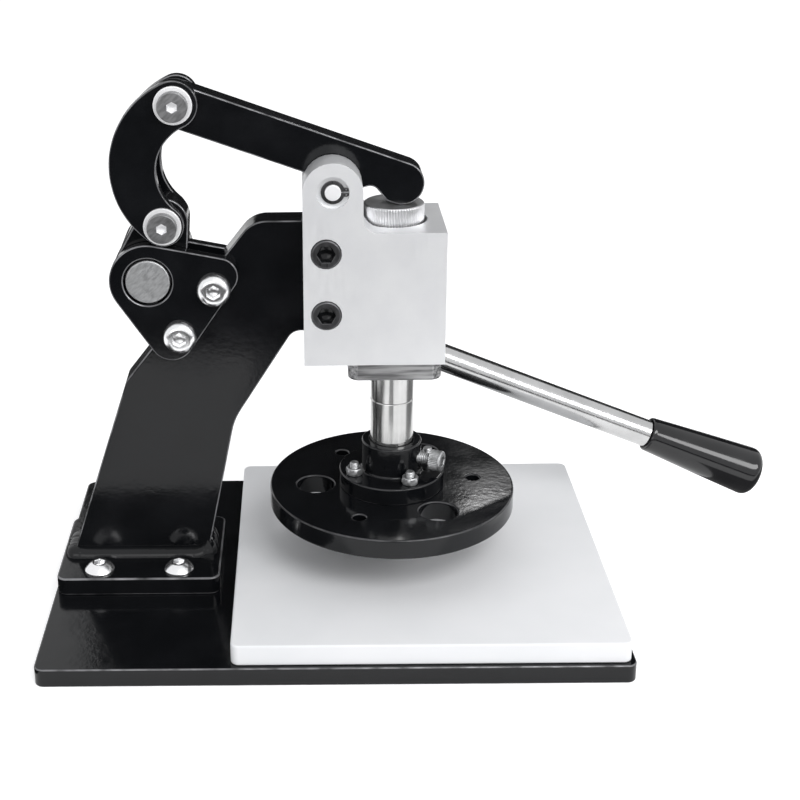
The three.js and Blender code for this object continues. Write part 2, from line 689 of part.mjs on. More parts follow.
// Cheek plates, their bolts and nuts

function cheekPlate(y, trim) {
  const shape = bandOutline([
    { x: SHAFT_X, y: SHAFT_Z, r: CHEEK_BOSS - trim },
    { x: SHAFT_X + CHEEK_LOW_X, y: SHAFT_Z - CHEEK_LOW_DROP, r: CHEEK_LOW_ROUND - trim },
    { x: SHAFT_X + CHEEK_SIDE_X, y: SHAFT_Z + CHEEK_SIDE_RISE, r: CHEEK_SIDE_ROUND - trim },
  ]);
  addRoundHole(shape, SHAFT_X, SHAFT_Z, SHAFT_RADIUS + FIT);
  for (const [x, z] of cheekBolts) addRoundHole(shape, x, z, M10_WIDE.shank + FIT);
  return uprightPlate(shape, CHEEK_THICK, y);
}

place(press, "cheek_front", cheekPlate(-CHEEK_FACE, 0), blackPaint);
place(press, "cheek_rear", cheekPlate(COLUMN_THICK / 2, REAR_CHEEK_TRIM), blackPaint);
cheekBolts.forEach(([x, z], index) => {
  const which = index ? "lower" : "upper";
  const length = 2 * CHEEK_FACE + M10_NUT.high + BOLT_TAIL;
  place(press, `cheek_bolt_${which}`, domedScrew(M10_WIDE, length), brightSteel, x, -CHEEK_FACE, z);
  place(press, `cheek_nut_${which}`, hexNut(M10_NUT), brightSteel, x, CHEEK_FACE, z);
});

// Crank: shaft, key, arm and crank pin, with the shaft's axis at the group's origin

const crank = new THREE.Group();
crank.position.set(SHAFT_X, 0, SHAFT_Z);
press.add(crank);
const crankPin = {
  x: CRANK_RADIUS * Math.sin(CRANK_LEAN * RAD),
  y: CRANK_RADIUS * Math.cos(CRANK_LEAN * RAD),
};
const armThick = COLUMN_THICK - 2 * ARM_SIDE_GAP;
const shaftFront = -CHEEK_FACE + SHAFT_RECESS;
const shaftBack = HANDLE_BACK + HANDLE_HUB_LENGTH / 2 + SHAFT_TAIL;

// The keyway's box, open through the shaft's surface and as long as the arm is thick
function keyBox(gap, length) {
  const key = box(KEY_WIDTH + 2 * gap, length, KEY_HEIGHT + 2 * gap);
  return key.translate(0, 0, -SHAFT_RADIUS);
}

function crankShaft() {
  const body = turned([
    [0, shaftFront],
    [SHAFT_RADIUS - SHAFT_CHAMFER, shaftFront],
    [SHAFT_RADIUS, shaftFront + SHAFT_CHAMFER],
    [SHAFT_RADIUS, shaftBack - SHAFT_CHAMFER],
    [SHAFT_RADIUS - SHAFT_CHAMFER, shaftBack],
    [0, shaftBack],
  ]);
  return cut(body, keyBox(FIT, armThick + 2 * FIT));
}

function crankArm() {
  const shape = bandOutline([
    { x: 0, y: 0, r: SHAFT_RADIUS + ARM_WALL },
    { x: crankPin.x, y: crankPin.y, r: LINK_PIN_RADIUS + ARM_END_WALL },
  ]);
  addRoundHole(shape, 0, 0, SHAFT_RADIUS + FIT);
  addRoundHole(shape, crankPin.x, crankPin.y, LINK_PIN_RADIUS + FIT);
  return cut(uprightPlate(shape, armThick, -armThick / 2), keyBox(FIT, 2 * armThick));
}

const linkFront = -COLUMN_THICK / 2 - SLIP - LINK_THICK; // front face of the front link

// A plain pin with a tapped hole in each end for its screws
function linkPin(half) {
  const bore = M10_LOW.shank + FIT;
  const points = [[0, -half / 4], [bore, -half / 4], [bore, -half], [LINK_PIN_RADIUS, -half]];
  return turned([...points, ...points.map(([r, y]) => [r, -y]).reverse()]);
}

place(crank, "crank_shaft", crankShaft(), shaftSteel);
place(crank, "crank_key", keyBox(0, armThick), brightSteel);
place(crank, "crank_arm", crankArm(), blackPaint);

const crankPinHalf = -linkFront - SLIP;
place(crank, "crank_pin", linkPin(crankPinHalf), shaftSteel, crankPin.x, 0, crankPin.y);

// A low-headed screw and its washer at each end of a pin, pairs of front and rear
function pinFasteners(parent, name, x, z, length) {
  for (const [side, sign] of [["front", 1], ["rear", -1]]) {
    const screw = capScrew(M10_LOW, length);
    const disc = washer();
    if (sign < 0) screw.rotateX(HALF);
    if (sign > 0) disc.translate(0, -WASHER_THICK, 0);
    const face = sign * linkFront;
    const seat = face - sign * WASHER_THICK;
    place(parent, `${name}_screw_${side}`, screw, brightSteel, x, seat, z);
    place(parent, `${name}_washer_${side}`, disc, brightSteel, x, face, z);
  }
}
const crankScrewLength = WASHER_THICK + LINK_THICK + COLUMN_THICK / 4;
pinFasteners(crank, "crank_pin", crankPin.x, crankPin.y, crankScrewLength);

// Links: a C of four arcs that run into each other

const lowPin = { x: SHAFT_X + crankPin.x, y: SHAFT_Z + crankPin.y };
const pivot = { x: PIVOT_X, y: PIVOT_Z };
const topPin = circlesMeet(lowPin, LINK_LENGTH, pivot, LEVER_ARM, false);

function linkOutline() {
  const outer = circlesMeet(lowPin, LINK_OUTER - LINK_LOW_ROUND, topPin, LINK_OUTER - LINK_TOP_ROUND, true);
  const inner = circlesMeet(lowPin, LINK_INNER + LINK_LOW_ROUND, topPin, LINK_INNER + LINK_TOP_ROUND, true);
  const toTop = angleFrom(outer, topPin);
  const toLow = angleFrom(outer, lowPin);
  return shapeFrom([
    ...arcPoints(outer.x, outer.y, LINK_OUTER, toTop, toLow),
    ...arcPoints(lowPin.x, lowPin.y, LINK_LOW_ROUND, toLow, angleFrom(lowPin, inner)),
    ...arcPoints(inner.x, inner.y, LINK_INNER, angleFrom(inner, lowPin), angleFrom(inner, topPin), true),
    ...arcPoints(topPin.x, topPin.y, LINK_TOP_ROUND, angleFrom(topPin, inner), toTop),
  ]);
}

function linkPlate(y) {
  const shape = linkOutline();
  addRoundHole(shape, lowPin.x, lowPin.y, LINK_PIN_RADIUS + FIT);
  addRoundHole(shape, topPin.x, topPin.y, M10_LOW.shank + FIT);
  return uprightPlate(shape, LINK_THICK, y);
}

place(press, "link_front", linkPlate(linkFront), blackPaint);
place(press, "link_rear", linkPlate(-linkFront - LINK_THICK), blackPaint);
pinFasteners(press, "link_pin", topPin.x, topPin.y, WASHER_THICK + LINK_THICK);

// Rocking lever, drawn along its own bar with the pivot at the origin and then tilted

const leverThick = COLUMN_THICK - 2 * LEVER_SIDE_GAP;
const leverRound = LEVER_WIDTH / 2;
const pinRise = LEVER_RISE + LEVER_PIN_RISE;
const pinAlong = Math.sqrt(LEVER_ARM * LEVER_ARM - pinRise * pinRise);
const leverTilt = angleFrom(pivot, topPin) - Math.atan2(pinRise, -pinAlong);

function leverOutline() {
  const low = LEVER_RISE - leverRound;
  const top = LEVER_RISE + leverRound;
  const left = -pinAlong - leverRound;
  const notchEnd = LEVER_BOSS + NOTCH_RUN;
  return roundedOutline([
    [left, low, leverRound],
    [-LEVER_BOSS, low, NOTCH_ROUND],
    [-LEVER_BOSS, -LEVER_BOSS, LEVER_BOSS],
    [LEVER_BOSS, -LEVER_BOSS, LEVER_BOSS],
    [LEVER_BOSS, low + NOTCH_RISE, NOTCH_ROUND],
    [notchEnd, low + NOTCH_RISE, NOTCH_ROUND],
    [notchEnd + NOTCH_SLOPE, low, NOTCH_ROUND],
    [LEVER_NOSE, low, leverRound],
    [LEVER_NOSE, top, leverRound],
    [left, top, leverRound],
  ]);
}

function rockingLever() {
  const shape = leverOutline();
  addRoundHole(shape, 0, 0, PIVOT_PIN_RADIUS + FIT);
  addRoundHole(shape, -pinAlong, pinRise, LINK_PIN_RADIUS + FIT);
  return uprightPlate(shape, leverThick, -leverThick / 2);
}

const lever = new THREE.Group();
lever.position.set(PIVOT_X, 0, PIVOT_Z);
lever.rotation.y = -leverTilt;
press.add(lever);
place(lever, "rocking_lever", rockingLever(), blackPaint);
place(lever, "link_pin", linkPin(leverThick / 2), shaftSteel, -pinAlong, 0, pinRise);

// Guide bush with its screws

function guideBush() {
  const half = BUSH_FLANGE / 2;
  const corner = half - BUSH_CORNER;
  const shape = roundedOutline([
    [-half, -corner], [-corner, -half], [corner, -half], [half, -corner],
    [half, corner], [corner, half], [-corner, half], [-half, corner],
  ]);
  const low = BLOCK_BOTTOM - BUSH_FLANGE_THICK;
  const flange = levelPlate(shape, BUSH_FLANGE_THICK, low);
  const barrel = backUp(rod(BUSH_RADIUS, low + BUSH_FLANGE_THICK / 2, BUSH_TOP));
  const bore = backUp(rod(RAM_RADIUS + FIT, low - OVERRUN, BUSH_TOP + OVERRUN));
  const tools = [bore];
  for (const [x, y] of bushBolts) {
    tools.push(backUp(rod(M6_CAP.shank + FIT, low - OVERRUN, BLOCK_BOTTOM + OVERRUN)).translate(x, y, 0));
    const sink = low + M6_CAP.high + SLIP;
    tools.push(backUp(rod(M6_CAP.head + COUNTERBORE_GAP, low - OVERRUN, sink)).translate(x, y, 0));
  }
  return cut(join(flange, barrel), ...tools);
}

place(pressPlate, "guide_bush", guideBush(), blackSteel);
bushBolts.forEach(([x, y], index) => {
  const low = BLOCK_BOTTOM - BUSH_FLANGE_THICK + M6_CAP.high + SLIP;
  const length = BUSH_FLANGE_THICK - M6_CAP.high + BUSH_BOLT_LENGTH;
  place(pressPlate, `bush_screw_${index + 1}`, backUp(capScrew(M6_CAP, length)), blackSteel, x, y, low);
});

// Ram, cap and return spring

// The cap stands a little clear of the lever's nose
const noseX = LEVER_NOSE - leverRound;
const noseZ = PIVOT_Z + noseX * Math.sin(leverTilt) + LEVER_RISE * Math.cos(leverTilt) - leverRound;
const CAP_TOP = noseZ - SLIP;
const CAP_BOTTOM = CAP_TOP - CAP_HEIGHT;

function ramRod() {
  const top = CAP_BOTTOM - SLIP;
  const mouth = CAP_SHANK_RADIUS + FIT;
  const bottom = CAP_BOTTOM - CAP_SHANK_LENGTH - SLIP;
  const low = DISC_TOP + SLIP;
  const points = [
    [0, low], [RAM_RADIUS, low], [RAM_RADIUS, top], [mouth, top], [mouth, bottom], [0, bottom],
  ];
  return backUp(turned(points));
}

function adjustingCap() {
  const edge = CAP_RADIUS - CAP_BEVEL;
  return backUp(turned([
    [0, CAP_BOTTOM - CAP_SHANK_LENGTH],
    [CAP_SHANK_RADIUS, CAP_BOTTOM - CAP_SHANK_LENGTH],
    [CAP_SHANK_RADIUS, CAP_BOTTOM],
    [edge, CAP_BOTTOM],
    [CAP_RADIUS, CAP_BOTTOM + CAP_BEVEL],
    [CAP_RADIUS, CAP_TOP - CAP_BEVEL],
    [edge, CAP_TOP],
    [0, CAP_TOP],
  ]));
}

// Centre of the spring's wire at a share of its length: it turns and climbs at a steady rate
function springPoint(share, low, high) {
  const radius = RAM_RADIUS + SPRING_GAP + SPRING_WIRE;
  const angle = share * SPRING_TURNS * 2 * HALF;
  const rise = low + (high - low) * share;
  return new THREE.Vector3(radius * Math.cos(angle), radius * Math.sin(angle), rise);
}

// One unbroken tube round the helix, with a flat cap at each end
function returnSpring() {
  const low = BUSH_TOP + SLIP + SPRING_WIRE;
  const high = CAP_BOTTOM - SLIP - SPRING_WIRE;
  const count = SPRING_TURNS * SPRING_STEPS;
  const points = [];
  for (let step = 0; step <= count; step += 1) {
    const centre = springPoint(step / count, low, high);
    const out = new THREE.Vector3(centre.x, centre.y, 0).normalize();
    for (let side = 0; side < SPRING_SIDES; side += 1) {
      const angle = (side / SPRING_SIDES) * 2 * HALF;
      const point = centre.clone().addScaledVector(out, SPRING_WIRE * Math.cos(angle));
      point.z += SPRING_WIRE * Math.sin(angle);
      points.push(point);
    }
  }
  reportSpringGap(low, high, count);
  return tubeFromRings(points, count + 1, SPRING_SIDES);
}

// Joins rings of points into a closed tube
function tubeFromRings(points, rings, sides) {
  const index = [];
  for (let ringAt = 0; ringAt < rings - 1; ringAt += 1) {
    for (let side = 0; side < sides; side += 1) {
      const a = ringAt * sides + side;
      const b = ringAt * sides + ((side + 1) % sides);
      index.push(a, b + sides, b, a, a + sides, b + sides);
    }
  }
  const last = (rings - 1) * sides;
  for (let side = 1; side < sides - 1; side += 1) {
    index.push(0, side, side + 1, last, last + side + 1, last + side);
  }
  const geometry = new THREE.BufferGeometry();
  geometry.setAttribute("position", new THREE.Float32BufferAttribute(points.flatMap((p) => p.toArray()), 3));
  geometry.setIndex(index);
  return toGeometry(toSolid(geometry));
}

// Least gap between the wire and itself, on points more than half a turn apart
function reportSpringGap(low, high, count) {
  let least = Infinity;
  for (let a = 0; a <= count; a += 1) {
    for (let b = a + SPRING_STEPS / 2; b <= count; b += 1) {
      const gap = springPoint(a / count, low, high).distanceTo(springPoint(b / count, low, high));
      least = Math.min(least, gap - 2 * SPRING_WIRE);
    }
  }
  console.log(`return_spring: least gap to itself ${least.toFixed(2)} mm, wanted over ${SPRING_LEAST_GAP} mm`);
}

place(pressPlate, "ram", ramRod(), chrome);
place(pressPlate, "adjusting_cap", adjustingCap(), brightSteel);
place(pressPlate, "return_spring", returnSpring(), springSteel);

// Press plate and its hub

// Points on a circle, evenly spread from a first angle in degrees
function circlePoints(count, radius, turn) {
  return Array.from({ length: count }, (_, index) => {
    const angle = turn * RAD + (index / count) * 2 * HALF;
    return [radius * Math.cos(angle), radius * Math.sin(angle)];
  });
}

const studs = circlePoints(STUD_COUNT, STUD_CIRCLE, STUD_TURN);

function pressDisc() {
  const edge = DISC_RADIUS - DISC_BEVEL;
  const body = backUp(turned([
    [0, DISC_BOTTOM],
    [edge, DISC_BOTTOM],
    [DISC_RADIUS, DISC_BOTTOM + DISC_BEVEL],
    [DISC_RADIUS, DISC_TOP - DISC_BEVEL],
    [edge, DISC_TOP],
    [0, DISC_TOP],
  ]));
  const through = (radius, x, y) =>
    backUp(rod(radius, DISC_BOTTOM - OVERRUN, DISC_TOP + OVERRUN)).translate(x, y, 0);
  const tools = [];
  for (const [x, y] of circlePoints(DISC_HOLES, DISC_HOLE_CIRCLE, DISC_HOLE_TURN)) {
    tools.push(through(DISC_HOLE_RADIUS, x, y));
  }
  for (const [x, y] of circlePoints(DISC_HOLES, DISC_SMALL_CIRCLE, DISC_SMALL_TURN)) {
    tools.push(through(DISC_SMALL_RADIUS, x, y));
  }
  const pocket = DISC_BOTTOM + STUD_HEAD.high + SLIP;
  for (const [x, y] of studs) {
    tools.push(through(M6_NUT.bore + FIT, x, y));
    const sink = rod(STUD_HEAD.radius + FIT, DISC_BOTTOM - OVERRUN, pocket);
    tools.push(backUp(sink).translate(x, y, 0));
  }
  return cut(body, ...tools);
}

const lockScrewZ = (HUB_FLANGE_TOP + HUB_TOP) / 2;

function ramHub() {
  const body = backUp(turned([
    [RAM_RADIUS + FIT, DISC_TOP],
    [HUB_FLANGE_RADIUS, DISC_TOP],
    [HUB_FLANGE_RADIUS, HUB_FLANGE_TOP],
    [HUB_COLLAR_RADIUS, HUB_FLANGE_TOP],
    [HUB_COLLAR_RADIUS, HUB_TOP],
    [RAM_RADIUS + FIT, HUB_TOP],
    [RAM_RADIUS + FIT, DISC_TOP],
  ]));
  const tools = studs.map(([x, y]) =>
    backUp(rod(M6_NUT.bore + FIT, DISC_TOP - OVERRUN, HUB_FLANGE_TOP + OVERRUN)).translate(x, y, 0));
  const hole = rod(M8_CAP.shank + FIT, 0, HUB_COLLAR_RADIUS + OVERRUN).rotateZ(-QUARTER);
  tools.push(hole.rotateZ(LOCK_SCREW_TURN * RAD).translate(0, 0, lockScrewZ));
  return cut(body, ...tools);
}

// A screw from under the disc: round head in its pocket, shank up through the hub's flange
function hubStud() {
  const top = HUB_FLANGE_TOP + M6_NUT.high + STUD_TAIL;
  const { radius, high } = STUD_HEAD;
  return backUp(turned([
    [0, DISC_BOTTOM + SLIP],
    [radius, DISC_BOTTOM + SLIP],
    [radius, DISC_BOTTOM + high],
    [M6_NUT.bore, DISC_BOTTOM + high],
    [M6_NUT.bore, top],
    [0, top],
  ]));
}

place(pressPlate, "press_disc", pressDisc(), blackPaint);
place(pressPlate, "ram_hub", ramHub(), blackPaint);
studs.forEach(([x, y], index) => {
  place(pressPlate, `hub_stud_${index + 1}`, hubStud(), brightSteel, x, y, 0);
  place(pressPlate, `hub_nut_${index + 1}`, backUp(hexNut(M6_NUT)), brightSteel, x, y, HUB_FLANGE_TOP);
});

function hubLockScrew() {
  const inner = RAM_RADIUS + FIT;
  const seat = HUB_COLLAR_RADIUS + LOCK_SCREW_SHOWN;
  const screw = capScrew(M8_CAP, seat - inner - FIT).translate(0, -seat, 0);
  return screw.rotateZ(QUARTER).rotateZ(LOCK_SCREW_TURN * RAD);
}

place(pressPlate, "hub_lock_screw", hubLockScrew(), brightSteel, 0, 0, lockScrewZ);

// Handle, drawn along +X from the shaft's axis and then turned down

const handle = new THREE.Group();
handle.position.y = HANDLE_BACK;
handle.rotation.y = HANDLE_DROP * RAD;
crank.add(handle);

const alongX = (geometry) => geometry.rotateZ(-QUARTER);
const hubReach = HANDLE_HUB_RADIUS + SLIP; // bar's shoulder, clear of the hub's surface
const gripBoreEnd = BAR_REACH + GRIP_LENGTH * gripBoreShare;

function handleHub() {
  const half = HANDLE_HUB_LENGTH / 2;
  const body = ring(SHAFT_RADIUS + FIT, HANDLE_HUB_RADIUS, -half, half);
  const socket = alongX(rod(BAR_SPIGOT_RADIUS + FIT, 0, HANDLE_HUB_RADIUS + OVERRUN));
  const grub = alongX(rod(M8_GRUB.shank + FIT, -HANDLE_HUB_RADIUS - OVERRUN, 0));
  return cut(body, socket, grub);
}

function handleBar() {
  const inner = SHAFT_RADIUS + 2 * FIT;
  const end = gripBoreEnd - OVERRUN;
  return alongX(turned([
    [0, inner],
    [BAR_SPIGOT_RADIUS, inner],
    [BAR_SPIGOT_RADIUS, hubReach],
    [BAR_RADIUS, hubReach],
    [BAR_RADIUS, BAR_REACH - SLIP],
    [BAR_SPIGOT_RADIUS, BAR_REACH - SLIP],
    [BAR_SPIGOT_RADIUS, end],
    [0, end],
  ]));
}

// A taper that swells toward its end and closes in a round nose, bored for the bar
function handleGrip() {
  const straight = GRIP_LENGTH - GRIP_LARGE_RADIUS / 2;
  const bore = BAR_SPIGOT_RADIUS + FIT;
  const points = [[0, gripBoreEnd], [bore, gripBoreEnd], [bore, BAR_REACH]];
  points.push([GRIP_SMALL_RADIUS, BAR_REACH], [GRIP_LARGE_RADIUS, BAR_REACH + straight]);
  const steps = 5;
  for (let step = 1; step <= steps; step += 1) {
    const angle = (step / steps) * QUARTER;
    const along = BAR_REACH + straight + (GRIP_LENGTH - straight) * Math.sin(angle);
    points.push([step === steps ? 0 : GRIP_LARGE_RADIUS * Math.cos(angle), along]);
  }
  return alongX(turned(points));
}

function handleSetScrew() {
  const inner = SHAFT_RADIUS + 2 * FIT;
  const depth = HANDLE_HUB_RADIUS - inner;
  const body = rod(M8_GRUB.shank, -HANDLE_HUB_RADIUS, -inner);
  return alongX(cut(body, hexagon(M8_GRUB.socket, -HANDLE_HUB_RADIUS - OVERRUN, -HANDLE_HUB_RADIUS + depth / 2)));
}

place(handle, "handle_hub", handleHub(), blackPaint);
place(handle, "handle_set_screw", handleSetScrew(), blackSteel);
place(handle, "handle_bar", handleBar(), chrome);
place(handle, "handle_grip", handleGrip(), blackGrip);

export default assembly;
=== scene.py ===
# %% [markdown]
# # A bench press for cutting leather
# A long handle turns a crank, the crank and two C links pull a rocking lever, and the lever's nose
# pushes a round ram down on a cutting die. The plain solids of the press come in first: they are the
# frame that every finished piece is fitted to, in the same place and at the same size.

# %% Load the plain press
from math import acos, asin, atan2, ceil, cos, degrees, hypot, pi, radians, sin, sqrt, tan

import bpy
import numpy as np
from mathutils import Matrix, Vector
from mathutils.geometry import tessellate_polygon


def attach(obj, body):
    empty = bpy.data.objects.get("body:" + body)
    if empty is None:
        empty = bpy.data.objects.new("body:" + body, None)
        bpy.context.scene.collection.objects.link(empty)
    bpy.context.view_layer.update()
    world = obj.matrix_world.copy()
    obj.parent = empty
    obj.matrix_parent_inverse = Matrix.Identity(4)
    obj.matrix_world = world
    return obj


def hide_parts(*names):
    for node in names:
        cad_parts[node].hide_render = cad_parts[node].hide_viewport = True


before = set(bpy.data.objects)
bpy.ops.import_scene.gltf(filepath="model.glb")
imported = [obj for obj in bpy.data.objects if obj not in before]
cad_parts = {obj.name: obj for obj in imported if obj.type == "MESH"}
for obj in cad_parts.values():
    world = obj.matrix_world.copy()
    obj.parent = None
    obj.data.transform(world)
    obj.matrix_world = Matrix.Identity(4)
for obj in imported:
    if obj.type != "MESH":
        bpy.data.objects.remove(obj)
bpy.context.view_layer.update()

MM = 0.001  # shapes are worked out in millimetres and stored in metres
TURN = 2 * pi


def new_object(name, data):
    """An object that shows a mesh, a lamp or a camera, linked to the scene."""
    made = bpy.data.objects.new(name, data)
    bpy.context.scene.collection.objects.link(made)
    return made


# %% [markdown]
# ## Camera
# The photograph was taken from the front, a little above the press. A long lens keeps the upright
# edges nearly upright, and the shift slides the picture without turning the camera, as a view
# camera does. Place and angles were found from straight edges and circles of the press.

# %% Place the camera
FRAME_PIXELS = 800
FOCAL_PIXELS = 1445.27
AXIS_PIXEL = 285  # where the lens axis meets the picture, from its left and from its top
SENSOR = 36
YAW, PITCH, ROLL = -0.0155469, 0.3345409, 0.0165657
CAMERA_PLACE = (-14.237, -858.588, 508.814)
NEAREST, FARTHEST = 0.01, 50  # metres


def place_camera():
    """Forward comes from yaw and pitch; right and down are turned round it by the roll."""
    forward = Vector((sin(YAW) * cos(PITCH), cos(YAW) * cos(PITCH), -sin(PITCH)))
    level = Vector((cos(YAW), -sin(YAW), 0))
    below = forward.cross(level)
    right = cos(ROLL) * level + sin(ROLL) * below
    down = cos(ROLL) * below - sin(ROLL) * level
    lens = bpy.data.cameras.new("front_camera")
    lens.sensor_width = SENSOR
    lens.lens = FOCAL_PIXELS * SENSOR / FRAME_PIXELS
    lens.shift_x = 0.5 - AXIS_PIXEL / FRAME_PIXELS
    lens.shift_y = AXIS_PIXEL / FRAME_PIXELS - 0.5
    lens.clip_start, lens.clip_end = NEAREST, FARTHEST
    camera = bpy.context.scene.camera = new_object("front_camera", lens)
    turn = Matrix((right, -down, -forward)).transposed().to_4x4()
    camera.matrix_world = Matrix.Translation(Vector(CAMERA_PLACE) * MM) @ turn
    return lens


lens = place_camera()
print("lens in mm:", round(lens.lens, 2), "shift:", round(lens.shift_x, 3), round(lens.shift_y, 3))

# %% [markdown]
# ## Room, floor and light
# The press stands on a plain white floor under soft studio lamps. The floor's own light is only for
# the camera and for mirrors, so it lifts the picture's background to white but adds no light to the
# press, and the soft shadow round the base stays. Glossy black paint would mirror that white room
# and look grey, so six cards stand where the paint sees them, as in a studio. They show in mirrors
# alone, throw no shadow and add no light.

# %% Helpers for nodes
def wire(node, **inputs):
    """Sets each input to a value, or links it to another node's output; _ stands for a space."""
    for name, value in inputs.items():
        socket = node.inputs[name.replace("_", " ")]
        if isinstance(value, bpy.types.NodeSocket):
            node.id_data.links.new(value, socket)
        else:
            socket.default_value = value
    return node


def new_node(tree, kind, **inputs):
    return wire(tree.nodes.new("ShaderNode" + kind), **inputs)


def new_finish(name, **inputs):
    """A material of that name, its node tree and its shader."""
    material = bpy.data.materials.new(name)
    material.use_nodes = True
    return material, material.node_tree, wire(material.node_tree.nodes["Principled BSDF"], **inputs)


def combine(tree, operation, first, second):
    """A sum, product or the like of one output and of another output or a plain number."""
    node = tree.nodes.new("ShaderNodeMath")
    node.operation = operation
    tree.links.new(first, node.inputs[0])
    if isinstance(second, float):
        node.inputs[1].default_value = second
    else:
        tree.links.new(second, node.inputs[1])
    return node.outputs[0]


def seen_rays(tree):
    """One for rays from the camera and in mirrors and glass, nought for the rays that light things."""
    path = new_node(tree, "LightPath").outputs
    total = combine(tree, "MAXIMUM", path["Is Camera Ray"], path["Is Glossy Ray"])
    return combine(tree, "MAXIMUM", total, path["Is Transmission Ray"])


print("node helpers ready")

# %% Floor and room
FLOOR_HALF = 9.0
FLOOR_COLOUR = (0.8, 0.8, 0.805, 1)
FLOOR_GLOW = 0.52
MATT = 0.9
ROOM_COLOUR = (0.985, 0.99, 1.0, 1)
ROOM_WHITE = 1.0  # how bright the room looks
ROOM_SOFT = 0.7  # how brightly it lights the press


def four_corners(left, right, front, back, last):
    """Corners of a level rectangle; last is their height, or the radius that rounds them."""
    return [(left, front, last), (right, front, last), (right, back, last), (left, back, last)]


def flat_sheet(name, corners, material):
    mesh = bpy.data.meshes.new(name)
    mesh.from_pydata(corners, [], [(0, 1, 2, 3)])
    mesh.materials.append(material)
    sheet = new_object(name, mesh)
    return sheet


def lay_floor():
    material, tree, shader = new_finish(
        "floor_white", Base_Color=FLOOR_COLOUR, Roughness=MATT, Specular_IOR_Level=0.0, Emission_Color=(1, 1, 1, 1))
    wire(shader, Emission_Strength=combine(tree, "MULTIPLY", seen_rays(tree), FLOOR_GLOW))
    flat_sheet("floor", four_corners(-FLOOR_HALF, FLOOR_HALF, -FLOOR_HALF, FLOOR_HALF, 0), material)


def light_room():
    world = bpy.data.worlds.new("room")
    world.use_nodes = True
    tree = world.node_tree
    level = new_node(tree, "MapRange", Value=seen_rays(tree), To_Min=ROOM_SOFT, To_Max=ROOM_WHITE)
    wire(tree.nodes["Background"], Color=ROOM_COLOUR, Strength=level.outputs["Result"])
    bpy.context.scene.world = world


lay_floor()
light_room()
bpy.context.scene.view_settings.view_transform = "Standard"
print("floor", 2 * FLOOR_HALF, "m wide")

# %% Lamps and cards
LAMPS = {  # place in metres, the point it faces, width, height, watts
    "key_lamp": ((0.5, -1.1, 1.3), (0, 0, 0.1), 0.9, 0.5, 10.5),
    "front_lamp": ((-0.6, -1.6, 0.5), (0, 0, 0.1), 1.0, 0.5, 2.0),
    "side_lamp": ((1.2, -1.0, 0.85), (0.1, 0, 0.12), 0.9, 0.4, 7.5),
    "rim_lamp": ((0.31, 1.4, 0.875), (0.09, -0.03, 0.07), 0.1, 0.05, 0.3),
}
DARK = 0.01  # how light a card is
BACK_CARD = [(-0.42, 1.45, 0.01), (1.6, 1.45, 0.01), (1.6, 1.45, 2.2), (-0.42, 1.45, 2.2)]
CARD_HEIGHT = 0.004  # the other cards lie just over the floor
LOW_CARDS = {  # how light, then the left, right, front and back edge
    "rear_card": (DARK, -0.6, 0.1, 0.42, 1.44),
    "front_card": (DARK, -1.5, 1.5, -2.4, -0.42),
    "left_card": (DARK, -0.3, -0.185, -0.3, 0.6),
    "grey_strip": (0.25, -0.06, 0.06, -0.42, -0.25),
    "right_card": (0.2, 0.26, 0.5, -0.06, 0.4),
}


def hang_lamp(name, place, target, width, height, watts):
    lamp = bpy.data.lights.new(name, "AREA")
    lamp.shape = "RECTANGLE"
    lamp.size, lamp.size_y = width, height
    lamp.energy = watts
    holder = new_object(name, lamp)
    holder.location = place
    holder.rotation_euler = (Vector(target) - Vector(place)).to_track_quat("-Z", "Y").to_euler()
    holder.visible_camera = False


def stand_card(name, tone, corners):
    card = flat_sheet(name, corners, new_finish(name, Base_Color=(tone, tone, tone, 1), Roughness=MATT)[0])
    card.visible_camera = card.visible_diffuse = card.visible_shadow = False


for name, settings in LAMPS.items():
    hang_lamp(name, *settings)
stand_card("back_card", DARK, BACK_CARD)
for name, (tone, *edges) in LOW_CARDS.items():
    stand_card(name, tone, four_corners(*edges, CARD_HEIGHT))
print("lamps:", len(LAMPS), "cards:", 1 + len(LOW_CARDS))

# %% [markdown]
# ## Outlines
# Most pieces of the press are plates cut from a drawing, so their shapes start as flat outlines.
# A corner is rounded by cutting both sides back by the radius over the tangent of half the angle
# between them. A band runs tight round several circles, as a belt would.

# %% Arcs and corners
CHORD_DEPTH = 0.012  # how far the flats of an arc fall inside it
SHORTEST_STEP = 0.03  # points nearer than this count as one


def unit(vector):
    return np.asarray(vector, float) / np.linalg.norm(vector)


def angle_of(vector):
    return atan2(vector[1], vector[0])


def arc(x, z, radius, start, sweep):
    """Centre plus radius times (cosine, sine) of angles spread evenly over the sweep."""
    widest = 2 * acos(1 - CHORD_DEPTH / radius)
    flats = max(3, ceil(abs(sweep) / widest))
    angle = start + sweep * np.linspace(0, 1, flats + 1)
    return np.stack([x + radius * np.cos(angle), z + radius * np.sin(angle)], 1)


def corner(here, before, after, radius):
    """The arc that rounds a corner and touches both of its sides."""
    back, ahead = unit(np.subtract(before, here)), unit(np.subtract(after, here))
    half = acos(float(back @ ahead)) / 2
    centre = here + unit(back + ahead) * radius / sin(half)
    reach = radius / tan(half)
    start, end = angle_of(here + back * reach - centre), angle_of(here + ahead * reach - centre)
    return arc(*centre, radius, start, (end - start + pi) % TURN - pi)


print("points of a 20 mm quarter circle:", len(arc(0, 0, 20, 0, TURN / 4)))

# %% Whole outlines
def anticlockwise(points):
    """Drops points that fall on the one before them and turns the outline the right way round."""
    points = points[np.linalg.norm(points - np.roll(points, 1, 0), axis=1) > SHORTEST_STEP]
    x, z = points.T
    area = (x * np.roll(z, -1) - z * np.roll(x, -1)).sum()
    return points if area > 0 else points[::-1]


